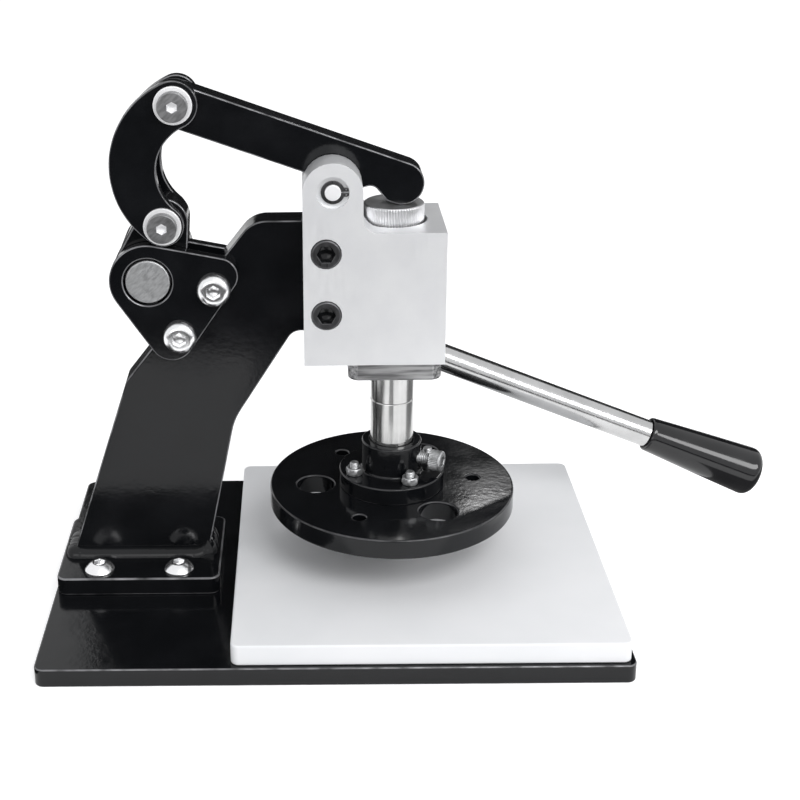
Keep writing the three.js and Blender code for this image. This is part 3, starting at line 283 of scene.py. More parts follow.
def rounded(corners):
    """A closed outline through (x, z, radius) corners."""
    spots = [c[:2] for c in corners]
    after = spots[1:] + spots[:1]
    before = spots[-1:] + spots[:-1]
    arcs = [corner(h, b, a, c[2]) for h, b, a, c in zip(spots, before, after, corners)]
    return anticlockwise(np.concatenate(arcs))


def band(*circles):
    """A tight band round (x, z, radius) circles, listed anticlockwise."""
    ends = []
    for a, b in zip(circles, circles[1:] + circles[:1]):
        way = (b[0] - a[0], b[1] - a[1])
        ends.append(angle_of(way) - acos((a[2] - b[2]) / hypot(*way)))
    arcs = [arc(x, z, r, ends[i - 1], (ends[i] - ends[i - 1]) % TURN) for i, (x, z, r) in enumerate(circles)]
    return anticlockwise(np.concatenate(arcs))


def circle(x, z, radius):
    return anticlockwise(arc(x, z, radius, 0, TURN))


def holes(radius, *spots):
    return [circle(*spot, radius) for spot in spots]


print("points round a 20 mm circle:", len(circle(0, 0, 20)))

# %% [markdown]
# ## Plates with eased edges
# A cut plate has a small round along every edge, which catches the light. The plate's wall is one
# profile carried along the outline: it steps in from the face, turns a quarter circle and runs
# straight to the other face. Two extra rings beside each round keep flat faces flat when the
# shading is smooth. A modifier could do this too, but a carried profile never folds over itself.

# %% Step outward and join rings
def outward(points):
    """Moves both sides of a point out by one: the sum of their normals over one plus their product."""
    side = np.roll(points, -1, 0) - points
    side /= np.linalg.norm(side, axis=1, keepdims=True)
    normal = np.stack([side[:, 1], -side[:, 0]], 1)
    before = np.roll(normal, 1, 0)
    return (normal + before) / (1 + (normal * before).sum(1, keepdims=True))


def strip_faces(rings, count, first=0, closed=False):
    """Four-sided faces between neighbouring rings of a grid that closes on itself."""
    ring = np.arange(rings if closed else rings - 1)[:, None]
    i = np.arange(count)[None]
    j = (i + 1) % count
    above = (ring + 1) % rings
    quads = np.stack([ring * count + i, ring * count + j, above * count + j, above * count + i], -1)
    return (first + quads.reshape(-1, 4)).tolist()


print("faces between two rings of 8:", len(strip_faces(2, 8)))

# %% Carry a rounded edge along an outline
EDGE_STEPS = 4
RING_GAP = 0.3  # from a round to the extra ring beside it, as a share of its radius


def plate(edge, low, high, ease, holes=()):
    """A level plate from height low to high: every outline is carried through the rounded edge."""
    turn = np.linspace(0, TURN / 4, EDGE_STEPS + 1)
    beside = (1 + RING_GAP) * ease
    inset = np.concatenate([[beside], ease * (1 - np.sin(turn)), [0]])
    climb = np.concatenate([[0], ease * (1 - np.cos(turn)), [beside]])
    insets = np.concatenate([inset, inset[::-1]])[:, None, None]
    heights = np.concatenate([low + climb, high - climb[::-1]])
    points, faces, rims, low_ends, total = [], [], [], [], 0
    for loop in [edge] + [hole[::-1] for hole in holes]:
        flat = loop[None] - outward(loop)[None] * insets
        level = np.broadcast_to(heights[:, None, None], flat.shape[:2] + (1,))
        points.append(np.concatenate([flat, level], 2).reshape(-1, 3))
        faces += strip_faces(len(heights), len(loop), total)
        rims.append(flat[0])
        low_ends.append(total + np.arange(len(loop)))
        total += len(points[-1])
    return np.concatenate(points), faces + plate_caps(rims, low_ends, len(heights) - 1)


def plate_caps(rims, low_ends, climb):
    """Fills the first and the last ring of the outlines, holes left open."""
    low = np.concatenate(low_ends)
    high = np.concatenate([end + climb * len(end) for end in low_ends])
    triangles = np.array(tessellate_polygon([[Vector((*spot, 0)) for spot in rim] for rim in rims]))
    a, b, c = np.concatenate(rims)[triangles.T]
    area = (b[:, 0] - a[:, 0]) * (c[:, 1] - a[:, 1]) - (b[:, 1] - a[:, 1]) * (c[:, 0] - a[:, 0])
    triangles[area < 0] = triangles[area < 0][:, ::-1]
    return high[triangles].tolist() + low[triangles[:, ::-1]].tolist()


def upright(edge, front, back, ease, holes=()):
    """A plate that stands on edge, its face to the front: the level plate tipped up a quarter turn."""
    points, faces = plate(edge, -back, -front, ease, holes)
    return np.stack([points[:, 0], -points[:, 2], points[:, 1]], 1), faces


print("ring steps in an eased edge:", EDGE_STEPS)

# %% [markdown]
# ## Turned pieces
# Pins, screws, washers and the ram come off a lathe. Their profile is a list of radius and height,
# with each corner softened by a small arc. A ring may also change its radius with the angle: six
# flats make a nut or a key socket, many small waves a knurl, and a wave that climbs as it turns
# makes a screw thread.

# %% Turn a profile round its axis
SIDES = 96  # points round a turned piece


def softened(corners):
    """A profile whose (radius, height, round) corners are arcs with a ring close to each end."""
    made = []
    for i, (radius, height, ease) in enumerate(corners):
        if ease <= 0 or i in (0, len(corners) - 1):
            made.append(np.array([[radius, height]], float))
            continue
        here, before, after = (np.array(corners[k][:2], float) for k in (i, i - 1, i + 1))
        bow = corner(here, before, after, ease)
        made += [bow[:1] + unit(before - here) * RING_GAP * ease, bow]
        made.append(bow[-1:] + unit(after - here) * RING_GAP * ease)
    return [tuple(p) for p in np.concatenate(made)]


def revolve(rings, sides=SIDES, closed=False):
    """Radius times (cosine, sine) of the angle at each height; a ring of radius nought is one pole."""
    angle = TURN * np.arange(sides) / sides
    solid = [(r, h) for r, h in rings if np.max(r) > 0]
    radius, height = (np.stack([np.broadcast_to(row[k], sides) for row in solid]) for k in (0, 1))
    grid = np.stack([radius * np.cos(angle), radius * np.sin(angle), height], 2).reshape(-1, 3)
    faces = strip_faces(len(solid), sides, 0, closed)
    if closed:
        return grid, faces
    i = np.arange(sides)
    j = (i + 1) % sides
    top = (len(solid) - 1) * sides
    low_pole, high_pole = len(grid), len(grid) + 1
    poles = np.array([[0, 0, rings[0][1]], [0, 0, rings[-1][1]]])
    faces += np.stack([np.full(sides, low_pole), j, i], 1).tolist()
    faces += np.stack([top + i, top + j, np.full(sides, high_pole)], 1).tolist()
    return np.concatenate([grid, poles]), faces


def placed(shell, centre, direction=(0, 0, 1), across=(1, 0, 0)):
    """Sets a turned shell on a point: its height runs along direction and its zero angle near across."""
    points, faces = shell
    up = unit(direction)
    side = unit(np.asarray(across, float) - np.dot(across, up) * up)
    return np.asarray(centre, float) + points @ np.stack([side, np.cross(up, side), up]), faces


print("profile helpers ready")

# %% Rods and rings
FRONT, REAR = (0, -1, 0), (0, 1, 0)


def rod(radius, low, high, ease):
    return revolve(softened([(0, low, 0), (radius, low, ease), (radius, high, ease), (0, high, 0)]))


def turned_ring(corners, sides=SIDES):
    """The profile runs round the bore and closes on itself."""
    return revolve(softened(corners[-1:] + corners + corners[:1])[1:-1], sides, closed=True)


def ring(bore, outer, low, high, ease):
    return turned_ring([(bore, low, ease), (outer, low, ease), (outer, high, ease), (bore, high, ease)])


def crosswise(shell, spot):
    """Lays a turned shell through the point (x, z), from front to back."""
    return placed(shell, (spot[0], 0, spot[1]), REAR)


print("faces of a washer:", len(ring(5, 12, 0, 2, 0.4)[1]))

# %% Rings that are not round
DRILL_WIDE, DRILL_DEEP = 0.34, 0.2  # a socket's drill point, as shares of its flats
SOCKET_CHAMFER = 0.3


def six_flats(flats):
    """Distance to a hexagon: half of its flats over the cosine of the angle from the nearest flat."""
    angle = TURN * np.arange(SIDES) / SIDES
    return flats / 2 / np.cos((angle + TURN / 12) % (TURN / 6) - TURN / 12)


def ridged(radius, depth, ridges, sides):
    """Radius less a wave with that many crests."""
    angle = TURN * np.arange(sides) / sides
    return radius - depth * (0.5 - 0.5 * np.cos(ridges * angle))


def threaded(radius, depth, pitch, low, high, sides=36):
    """Rings whose radius dips by a saw wave of height over pitch less the share of a turn."""
    share = np.arange(sides) / sides
    heights = np.arange(low, high, pitch / 6)
    saw = [1 - abs(2 * ((h / pitch - share) % 1) - 1) for h in heights]
    return [(radius - depth * s, h) for s, h in zip(saw, heights)]


def socket_rings(flats, face, depth, sides=SIDES):
    """A hexagonal key socket: a fine chamfer, six walls, a flat floor and a drill point in its middle."""
    wall = np.repeat(six_flats(flats), sides // SIDES)
    floor = face - depth
    walls = [(wall + SOCKET_CHAMFER, face), (wall, face - SOCKET_CHAMFER), (wall, floor)]
    return walls + [(DRILL_WIDE * flats, floor), (0, floor - DRILL_DEEP * flats)]


print("hexagon of 10 mm flats reaches", round(float(six_flats(10).max()), 2), "mm")

# %% [markdown]
# ## Finishes
# Each finish is a small network of nodes. They read the piece's own coordinates, so a pattern stays
# with its piece when the handle is pulled. Noise only shifts the roughness, the tone or the bump a
# little, as paint, grinding or blasting does.

# %% Noise, range, tone and bump
def grain(tree, spots, stretch=(1, 1, 1), turn=(0, 0, 0), detail=3.0):
    """Noise at that many spots a metre, drawn out by stretch after the turn."""
    place = new_node(tree, "TexCoord").outputs["Object"]
    turned = new_node(tree, "Mapping", Rotation=turn, Vector=place).outputs["Vector"]
    drawn = new_node(tree, "Mapping", Scale=stretch, Vector=turned).outputs["Vector"]
    return new_node(tree, "TexNoise", Scale=spots, Detail=detail, Vector=drawn).outputs["Fac"]


def between(tree, source, low, high):
    """Maps the source's middle range, from 0.3 to 0.7, to values from low to high."""
    node = new_node(tree, "MapRange", Value=source, From_Min=0.3, From_Max=0.7, To_Min=low, To_Max=high)
    return node.outputs["Result"]


def tones(tree, source, first, second):
    """A blend of two colours by the source, from 0.35 to 0.65 of it."""
    ramp = new_node(tree, "ValToRGB", Fac=source)
    for stop, place, colour in zip(ramp.color_ramp.elements, (0.35, 0.65), (first, second)):
        stop.position, stop.color = place, (*colour, 1)
    return ramp.outputs["Color"]


def raise_surface(tree, shader, source, height, strength):
    """Bump of that height in metres; several are chained through the normal."""
    bump = new_node(tree, "Bump", Distance=height, Strength=strength, Height=source)
    if shader.inputs["Normal"].is_linked:
        wire(bump, Normal=shader.inputs["Normal"].links[0].from_socket)
    wire(shader, Normal=bump.outputs["Normal"])


print("noise, range, tone and bump helpers ready")

# %% [markdown]
# Black stove enamel covers the steel plates. It is almost a mirror, with a soft skin like orange
# peel a few millimetres across and a faint haze where hands and rags have been. The board is white
# nylon, milled and slightly waxy, so it is pale, half matt and very finely grained.

# %% One recipe for every finish
PLAIN = (0, 0, 0)  # no turn


def surface(name, slot, dark, light, rough, marks=None, brushed=False, cloud=(45, 4),
            skin=(900, 0.00001, 0.4), **inputs):
    """A cloudy or brushed tone and gloss, then relief.

    The cloud is (spots a metre, detail), marks are (spots, stretch, turn, height) and the skin is
    (spots, height, strength). It is a metal unless the inputs say otherwise.
    """
    material, tree, shader = new_finish(name, **{"Roughness": rough[0], "Metallic": 1.0, **inputs})
    source = haze = grain(tree, cloud[0], detail=cloud[1])
    if marks:
        spots, stretch, turn, height = marks
        source = grain(tree, spots, stretch, turn)
        if height:
            raise_surface(tree, shader, source, height, 0.5)
    tone = tones(tree, source if brushed else haze, dark, light)
    wire(shader, Base_Color=tone, Roughness=between(tree, source, *rough))
    raise_surface(tree, shader, grain(tree, skin[0], detail=2), *skin[1:])
    return material


NYLON = surface(
    "white_nylon", "white_nylon", (0.775, 0.785, 0.80), (0.81, 0.815, 0.83), (0.44, 0.56),
    (60, (1, 1, 1), PLAIN, 0), cloud=(16, 5), skin=(1800, 0.00002, 0.4),
    Roughness=0.48, Metallic=0.0, Specular_IOR_Level=0.3)
GRIP = surface(
    "grip_plastic", "black_grip", (0.004, 0.004, 0.005), (0.008, 0.008, 0.009), (0.07, 0.15),
    cloud=(50, 4), skin=(260, 0.00003, 0.25), Roughness=0.1, Metallic=0.0, Specular_IOR_Level=0.55)
ENAMEL = surface(
    "black_enamel", "black_paint", (0.003, 0.0034, 0.0042), (0.005, 0.0055, 0.0066), (0.08, 0.17),
    cloud=(38, 4), skin=(300, 0.00009, 0.5), Roughness=0.12, Metallic=0.0, Specular_IOR_Level=0.32)
print("finishes:", NYLON.name, GRIP.name, ENAMEL.name)

# %% Paint a highlight along the edges
# light metallic grey of the painted edge highlight
EDGE_HIGHLIGHT_GREY = (0.5, 0.5, 0.52, 1)


def paint_edge_highlight(tree):
    """A painted highlight where a piece's edge turns: that share blends the paint into a light metallic grey."""
    shader = tree.nodes["Principled BSDF"]
    edge = new_node(tree, "Attribute")
    edge.attribute_name = "edge_highlight"
    # the stored edge turn, broken up by noise, sets how much painted highlight shows
    edge_highlight = combine(tree, "MULTIPLY", edge.outputs["Fac"], between(tree, grain(tree, 90), 0.05, 0.55))
    blend = tree.nodes.new("ShaderNodeMix")
    blend.data_type = "RGBA"
    wire(blend, Factor=edge_highlight, A=shader.inputs["Base Color"].links[0].from_socket, B=EDGE_HIGHLIGHT_GREY)
    wire(shader, Base_Color=blend.outputs["Result"], Metallic=edge_highlight)


# the enamel takes the painted edge highlight
paint_edge_highlight(ENAMEL.node_tree)
print("paint nodes:", len(ENAMEL.node_tree.nodes))

# %% [markdown]
# The metals differ in how their surface was cut. The head block is aluminium blasted to an even
# satin, the ram is ground round and the handle bar is polished along its length, so their noise is
# drawn out along the marks of the tool. Screws are bright and slightly pitted, the shaft is plain
# turned steel, and black oxide hides most of the shine on the clamp screws and the bush.

# %% Metals
HANDLE_DROP = radians(22.3)  # how far the handle points down at rest
ALONG_BAR = (0, HANDLE_DROP, 0)
FACED = (900, (0.25, 1, 1), (0, 0.7, 0), 0.00001)  # slanting marks on a sawn and faced end

ALUMINIUM = surface(
    "satin_aluminium", "aluminium", (0.79, 0.795, 0.81), (0.83, 0.835, 0.845), (0.43, 0.5),
    (900, (1, 1, 0.08), PLAIN, 0.000004), Metallic=0.75)
RAM_CHROME = surface(
    "ground_chrome", "chrome", (0.48, 0.48, 0.475), (0.60, 0.60, 0.595), (0.12, 0.24),
    (700, (1, 1, 0.03), PLAIN, 0.000003))
BAR_CHROME = surface(
    "drawn_chrome", "chrome", (0.47, 0.47, 0.47), (0.56, 0.56, 0.56), (0.1, 0.24),
    (1500, (0.02, 1, 1), ALONG_BAR, 0.000006))
BRIGHT = surface("bright_steel", "bright_steel", (0.84, 0.84, 0.85), (0.92, 0.92, 0.93), (0.18, 0.3))
WASHER = surface(
    "plated_steel", "bright_steel", (0.84, 0.84, 0.85), (0.90, 0.90, 0.91), (0.3, 0.42), Metallic=0.4)
CAP = surface("knurled_steel", "bright_steel", (0.62, 0.62, 0.63), (0.74, 0.74, 0.75), (0.34, 0.48))
SCREW = surface(
    "grey_steel", "bright_steel", (0.24, 0.24, 0.245), (0.32, 0.32, 0.325), (0.3, 0.45), FACED, True)
SHAFT = surface(
    "turned_steel", "shaft_steel", (0.38, 0.385, 0.39), (0.48, 0.485, 0.49), (0.38, 0.54), FACED, True)
SPRING = surface("spring_wire", "spring_steel", (0.20, 0.20, 0.21), (0.28, 0.28, 0.29), (0.28, 0.42))
OXIDE = surface(
    "black_oxide", "black_steel", (0.08, 0.08, 0.083), (0.13, 0.13, 0.134), (0.26, 0.4),
    (700, (1, 1, 0.1), PLAIN, 0.000008))
BUSH = surface(
    "brushed_oxide", "black_steel", (0.09, 0.09, 0.094), (0.48, 0.48, 0.485), (0.26, 0.4),
    (520, (0.06, 1, 1), PLAIN, 0.00002), True)

# %% [markdown]
# ## Bringing a piece into the room
# A finished piece is one mesh at the origin with its place in its points. It rides on a body of the
# press, stands for the plain solid of the same name and says which finish it takes. Painted pieces
# get a painted highlight along their edges, so each painted point also stores how sharply its edges turn.

# %% Measure how edges turn
HIGHLIGHT_FROM, HIGHLIGHT_SPAN = radians(12), radians(10)  # edges that turn more than this get the painted highlight


def read(items, name, width, kind=float):
    """One row of numbers for each point, edge, face or face corner of a mesh."""
    values = np.empty(len(items) * width, kind)
    items.foreach_get(name, values)
    return values.reshape(-1, width)


def edge_turn(mesh):
    """At each point, the widest angle between two faces that share an edge there."""
    order = np.argsort(read(mesh.loops, "edge_index", 1, int)[:, 0], kind="stable")
    sides = read(mesh.polygons, "loop_total", 1, int)[:, 0]
    pairs = np.repeat(np.arange(len(sides)), sides)[order].reshape(-1, 2)
    first, second = read(mesh.polygons, "normal", 3)[pairs.T]
    angle = np.arccos(np.clip((first * second).sum(1), -1, 1))
    turn = np.zeros(len(mesh.vertices))
    np.maximum.at(turn, read(mesh.edges, "vertices", 2, int), angle[:, None])
    return turn


def store_edge_highlight(mesh, highlight_share):
    """How far the turn is past its start, as a share of the span, times the piece's own share of painted edge
    highlight.
    """
    edge_highlight = mesh.attributes.new("edge_highlight", "FLOAT", "POINT")
    edge_highlight.data.foreach_set("value", highlight_share * np.clip((edge_turn(mesh) - HIGHLIGHT_FROM) / HIGHLIGHT_SPAN, 0, 1))


# the painted edge highlight starts at this turn
print("steel shows from", round(degrees(HIGHLIGHT_FROM)), "degrees")

# %% Make a piece
SMOOTH_ANGLE = 32  # degrees; sharper edges stay crisp
made_pieces = []


def smooth(mesh, limit=SMOOTH_ANGLE):
    mesh.polygons.foreach_set("use_smooth", np.ones(len(mesh.polygons), bool))
    mesh.set_sharp_from_angle(angle=radians(limit))


def join_press(node, mesh, body, material):
    """Links a mesh to the scene in the place of a plain solid and puts it on its body."""
    piece = new_object(node + "_finished", mesh)
    mesh.materials.clear()
    mesh.materials.append(material)
    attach(piece, body)
    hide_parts(node)
    made_pieces.append(piece)
    return piece


def add_piece(node, shell, body, material, highlight_share=1.0):
    """Makes a mesh of a shell's points and faces; the last argument sets how much painted highlight its painted
    edges take.
    """
    points, faces = shell
    mesh = bpy.data.meshes.new(node + "_finished")
    mesh.from_pydata((np.asarray(points) * MM).tolist(), [], faces)
    smooth(mesh)
    # painted pieces store where their painted edge highlight goes
    if material is ENAMEL:
        store_edge_highlight(mesh, highlight_share)
    return join_press(node, mesh, body, material)


def report(step):
    """Prints how many pieces and faces there are so far."""
    print(step, "- pieces:", len(made_pieces), "faces:", sum(len(p.data.polygons) for p in made_pieces))


report("start")

# %% [markdown]
# ## Base, board and foot
# The base is a steel plate on the bench, with a white nylon board on its right for the die and a
# smaller foot plate on its left that carries the column. They are level plates, eased along all
# their edges, where the lamps draw a thin bright line.

# %% Level plates
BASE_TOP, FOOT_TOP, BOARD_TOP = 12, 24, 25.5
EASE = 0.9  # round along the edges of the steel plates
M10_HOLE, M12_HOLE = 5.3, 6.3  # radii
FOOT_SCREWS = [(-151.5, -27), (-99.5, -27), (-99.5, 33), (-151.5, 33)]

foot_holes = holes(M10_HOLE, *FOOT_SCREWS)
base = plate(rounded(four_corners(-180, 180, -123, 123, 6)), 0, BASE_TOP, EASE, foot_holes)
board = plate(rounded(four_corners(-62, 177, -120, 120, 5)), BASE_TOP, BOARD_TOP, 1.1)
foot = plate(rounded(four_corners(-178.5, -72.5, -39, 45, 6.5)), BASE_TOP, FOOT_TOP, 1.2, foot_holes)
add_piece("base_plate", base, "frame", ENAMEL)
add_piece("cutting_board", board, "frame", NYLON)
add_piece("foot_plate", foot, "frame", ENAMEL)
report("level plates")

# %% [markdown]
# ## Column
# One thick plate leans back to a gooseneck, so that the head block hangs clear of the board. The
# outline is the workshop drawing's: straight runs with a large bend inside the throat, a smaller one
# under the head and a soft shoulder behind the crank. A bead of weld holds it to the foot.

# %% Column plate
COLUMN_FRONT, COLUMN_BACK = -7, 13
CHEEK_BOLTS = {"upper": (-71.5, 212.9), "lower": (-93.7, 182.0)}
CLAMP_SCREWS = {"lower": (-2, 200.5), "upper": (-2, 239.9)}
COLUMN = [
    (-171.5, 24, 1.3), (-81.5, 24, 1.3), (-61.5, 121, 45), (-23, 182, 9), (12, 182, 1.3),
    (12, 254.5, 1.3), (-47.3, 254.5, 19), (-129.9, 149.0, 8),
]
cheek_holes = holes(M10_HOLE, *CHEEK_BOLTS.values())
clamp_holes = holes(M12_HOLE, *CLAMP_SCREWS.values())
column = upright(rounded(COLUMN), COLUMN_FRONT, COLUMN_BACK, EASE, cheek_holes + clamp_holes)
add_piece("column_plate", column, "frame", ENAMEL)
report("column")

# %% Weld round its foot
BEAD_PATH = (-171.3, -81.3, -7.2, 13.2, 1.5)  # left, right, front, back and corner
BEAD_LEG = 5.8
BEAD_LIFT = 0.02  # keeps the bead just over the foot plate
RIPPLES = [(37, 0.5), (61, 0.3), (23, 0.35), (97, 0.2)]  # waves along the path and their heights
CALM, FADE = 36, 10  # the bead is even this near the middle, then roughens over the fade
INNER_EDGE = -3.2  # the bead closes inside the column


def even_steps(points, step):
    """The same closed path with points at even distances."""
    closed = np.concatenate([points, points[:1]])
    place = np.concatenate([[0], np.cumsum(np.linalg.norm(np.diff(closed, axis=0), axis=1))])
    wanted = np.arange(0, place[-1], step)
    return np.stack([np.interp(wanted, place, closed[:, k]) for k in range(2)], 1)


def weld_bead(path, leg, seed):
    """A slope from wall to floor with a low sine bulge, carried along the path.

    A sum of sines along the path makes it swell and dip, most of all at the column's ends.
    """
    step = np.linalg.norm(np.roll(path, -1, 0) - path, axis=1)
    place = np.cumsum(step) - step
    phases = np.random.default_rng(seed).uniform(0, TURN, 4)
    lumps = sum(a * np.sin(TURN * n * place / step.sum() + p) for (n, a), p in zip(RIPPLES, phases))
    aside = path[:, 0] - (path[:, 0].max() + path[:, 0].min()) / 2
    ends = np.clip((aside - CALM) / FADE, 0.15, 1) * np.clip((abs(aside) - CALM) / FADE, 0, 1)
    swell = 1 + (0.008 + 0.16 * ends) * lumps
    share = np.linspace(0, 1, 9)[:, None]
    bulge = 0.18 * np.sin(share * pi)
    reach = leg * (share + bulge) * swell
    rise = leg * (1 - share + bulge) * swell * (1 + 0.8 * ends)
    inner = np.full(len(path), INNER_EDGE)
    reach = np.concatenate([[inner], reach, [inner]])
    rise = np.concatenate([[rise[0]], rise[:-1], [0 * inner], [0 * inner]])
    flat = path[None] + outward(path)[None] * reach[:, :, None]
    points = np.concatenate([flat, FOOT_TOP + BEAD_LIFT + rise[:, :, None]], 2)
    rings, count = points.shape[:2]
    return points[::-1].reshape(-1, 3), strip_faces(rings, count, closed=True)


bead = weld_bead(even_steps(rounded(four_corners(*BEAD_PATH)), 0.8), BEAD_LEG, seed=7)
add_piece("foot_weld", bead, "frame", ENAMEL, highlight_share=0.0)
report("weld")

# %% [markdown]
# ## Screws, washers and nuts
# Screws share one profile: shank, head and a hexagonal socket. A domed head swells as a quarter
# ellipse, a cap head is a short cylinder with a knurled side, and a nut is a hexagon whose corners
# are turned off by a cone, which leaves the curved edges that real nuts show.

# %% Screw and nut profiles
def domed_screw(shank, length, head, high, socket, cone=0.0):
    """The dome is a quarter ellipse, drawn toward a cone by that share, and ends in a flat round the socket."""
    bow = np.linspace(0, 1, 12)
    edge, flat, lip = 0.18 * high, 0.66 * socket + 0.5, 0.61 * socket
    inward = (1 - cone) * np.cos(bow * TURN / 4) + cone * (1 - bow)
    upward = (1 - cone) * np.sin(bow * TURN / 4) + cone * bow
    dome = list(zip(flat + (head - flat) * inward, edge + (high - edge) * upward))
    rings = [(0, -length), (shank, -length), (shank, 0), (head - 0.2, 0), (head, 0.2)]
    return revolve(rings + dome + [(lip, high)] + socket_rings(socket, high, 0.62 * high))


def cap_screw(shank, length, head, high, socket, ridges=0, ease=0.8):
    """A head with a rounded edge; its knurl fades in and out at each end of the side."""
    sides = 2 * SIDES if ridges else SIDES
    rings = softened([(0, -length, 0), (shank, -length, 0.5), (shank, 0, 0)])
    rings += [(head - 0.3, 0), (head, 0.3)]
    if ridges:
        grooved = ridged(head, 0.32, ridges, sides)
        rings += [(head, 0.6), (grooved, 0.9), (grooved, high - ease - 0.9), (head, high - ease - 0.5)]
    bow = np.linspace(0, TURN / 4, 6)
    rings += [(head - ease + ease * cos(t), high - ease + ease * sin(t)) for t in bow]
    rings += [(head - 1.35 * ease, high)]
    return revolve(rings + socket_rings(socket, high, 0.6 * high, sides), sides)


def hex_nut(flats, high, bore):
    """The nearer of a hexagon and a cone, ring by ring; the bore closes the profile."""
    outer = six_flats(flats)
    cone = [(0.0, 0.47 * flats), (0.5, 0.5 * flats + 0.15), (0.18 * high + 0.6, 0.6 * flats)]
    low = [(np.minimum(outer, r), h) for h, r in cone]
    upper = [(r, high - h) for r, h in low[::-1]]
    inner = [(bore + 0.5, high), (bore, high - 0.5), (bore, 0.5), (bore + 0.5, 0)]
    return revolve(low + upper + inner, closed=True)


print("faces of an M10 nut:", len(hex_nut(18, 9, 5.15)[1]))

# %% Screws of foot, cheeks and block
CHEEK_FRONT, CHEEK_BACK = -15, 21
CLAMP_SEAT = -22
FOOT_SCREW = dict(shank=5, length=20, head=9.6, high=5.5, socket=6.5, cone=0.7)
CHEEK_BOLT = dict(shank=5, length=48, head=10.6, high=6, socket=8)
CLAMP_SCREW = dict(shank=6, length=50, head=9, high=9, socket=10, ridges=48, ease=1.0)
CORNER_UP = (cos(TURN / 12), 0, sin(TURN / 12))  # turns a socket by half a side


def paint_socket_light_and_shade(piece, centre, way, reach, face, material):
    """Gives another finish to the faces of a head nearer to its axis than reach and below its face: painted shade
    in the socket when that finish is darker, a painted highlight when it is lighter.
    """
    mesh = piece.data
    mesh.materials.append(material)
    away = read(mesh.polygons, "center", 3) / MM - centre
    ahead = away @ np.asarray(way)
    inside = (np.linalg.norm(away[:, [0, 2]], axis=1) < reach) & (ahead > 0) & (ahead < face - 0.25)
    mesh.polygons.foreach_set("material_index", inside.astype(int))


for count, (x, y) in enumerate(FOOT_SCREWS, 1):
    screw = placed(domed_screw(**FOOT_SCREW), (x, y, FOOT_TOP))
    add_piece(f"foot_screw_{count}", screw, "frame", BRIGHT)
for which, (x, z) in CHEEK_BOLTS.items():
    bolt = placed(domed_screw(**CHEEK_BOLT), (x, CHEEK_FRONT, z), FRONT)
    add_piece(f"cheek_bolt_{which}", bolt, "frame", BRIGHT)
    nut = placed(hex_nut(18, 9, 5.15), (x, CHEEK_BACK, z), REAR)
    add_piece(f"cheek_nut_{which}", nut, "frame", BRIGHT)
for which, (x, z) in CLAMP_SCREWS.items():
    seat = (x, CLAMP_SEAT, z)
    head = placed(cap_screw(**CLAMP_SCREW), seat, FRONT, CORNER_UP)
    # the socket takes black enamel, a painted shade in its hollow
    paint_socket_light_and_shade(add_piece(f"clamp_screw_{which}", head, "frame", OXIDE), seat, FRONT, 5.9, 9, ENAMEL)
report("screws")

# %% [markdown]
# ## Cheeks, shaft and crank
# Two three-cornered cheek plates are bolted to the column's sides and carry the crank shaft. The
# crank arm is keyed to the shaft between them, and its pin holds the lower ends of the links.

# %% Cheeks and crank
CRANK_AXIS = (-112.4, 218.1)
CRANK_PIN = (-101.5665, 254.2099)
SHAFT_HOLE, PIN_HOLE = 14.3, 8.3


def cheek(front, back, trim, bore):
    edge = band((*CRANK_AXIS, 24 - trim), (-99.0, 180.0, 14 - trim), (-68.3, 221.4, 12 - trim))
    return upright(edge, front, back, EASE, holes(bore, CRANK_AXIS) + cheek_holes)


add_piece("cheek_front", cheek(CHEEK_FRONT, COLUMN_FRONT, 0, 15.3), "frame", ENAMEL)
add_piece("cheek_rear", cheek(COLUMN_BACK, CHEEK_BACK, 2, SHAFT_HOLE), "frame", ENAMEL)
arm_holes = holes(SHAFT_HOLE, CRANK_AXIS) + holes(PIN_HOLE, CRANK_PIN)
arm = upright(band((*CRANK_AXIS, 23.5), (*CRANK_PIN, 15)), -6.5, 12.5, EASE, arm_holes)
add_piece("crank_arm", arm, "crank", ENAMEL)
add_piece("crank_shaft", crosswise(rod(14, -14.5, 67, 1.1), CRANK_AXIS), "crank", SHAFT)
add_piece("crank_pin", crosswise(rod(8, -14.4, 20.4, 0.5), CRANK_PIN), "crank", SHAFT)
report("crank")

# %% [markdown]
# ## Links and rocking lever
# Each link is a C drawn with four arcs that run into each other: a wide one outside, a narrow one
# inside, and a round end about each pin. The lever is a bar with round ends, a boss below its pivot
# and a notch that leaves a nose over the ram.

# %% Links
LINK_TOP = (-92.298, 329.038)
LINK_FRONT, LINK_BACK = -14.7, 20.7
LINK_THICK = 7.4


def circles_meet(a, ra, b, rb):
    """The point to the right of the line from a to b that is ra from a and rb from b."""
    way = np.subtract(b, a)
    gap = np.linalg.norm(way)
    along = (ra**2 - rb**2 + gap**2) / (2 * gap)
    aside = sqrt(ra**2 - along**2)
    ahead = way / gap
    return np.asarray(a) + along * ahead + aside * np.array([ahead[1], -ahead[0]])


def link_outline(inner, top, outer=57.5, low=13.1):
    """Outer arc, low end, inner arc taken backward, top end."""
    wide = circles_meet(CRANK_PIN, outer - low, LINK_TOP, outer - top)
    narrow = circles_meet(CRANK_PIN, inner + low, LINK_TOP, inner + top)
    far_top, far_low = angle_of(LINK_TOP - wide), angle_of(CRANK_PIN - wide)
    near_low, near_top = angle_of(CRANK_PIN - narrow), angle_of(LINK_TOP - narrow)
    low_end, top_start = angle_of(narrow - CRANK_PIN), angle_of(narrow - LINK_TOP)
    return anticlockwise(np.concatenate([
        arc(*wide, outer, far_top, (far_low - far_top) % TURN),
        arc(*CRANK_PIN, low, far_low, (low_end - far_low) % TURN),
        arc(*narrow, inner, near_low, -((near_low - near_top) % TURN)),
        arc(*LINK_TOP, top, top_start, (far_top - top_start) % TURN),
    ]))


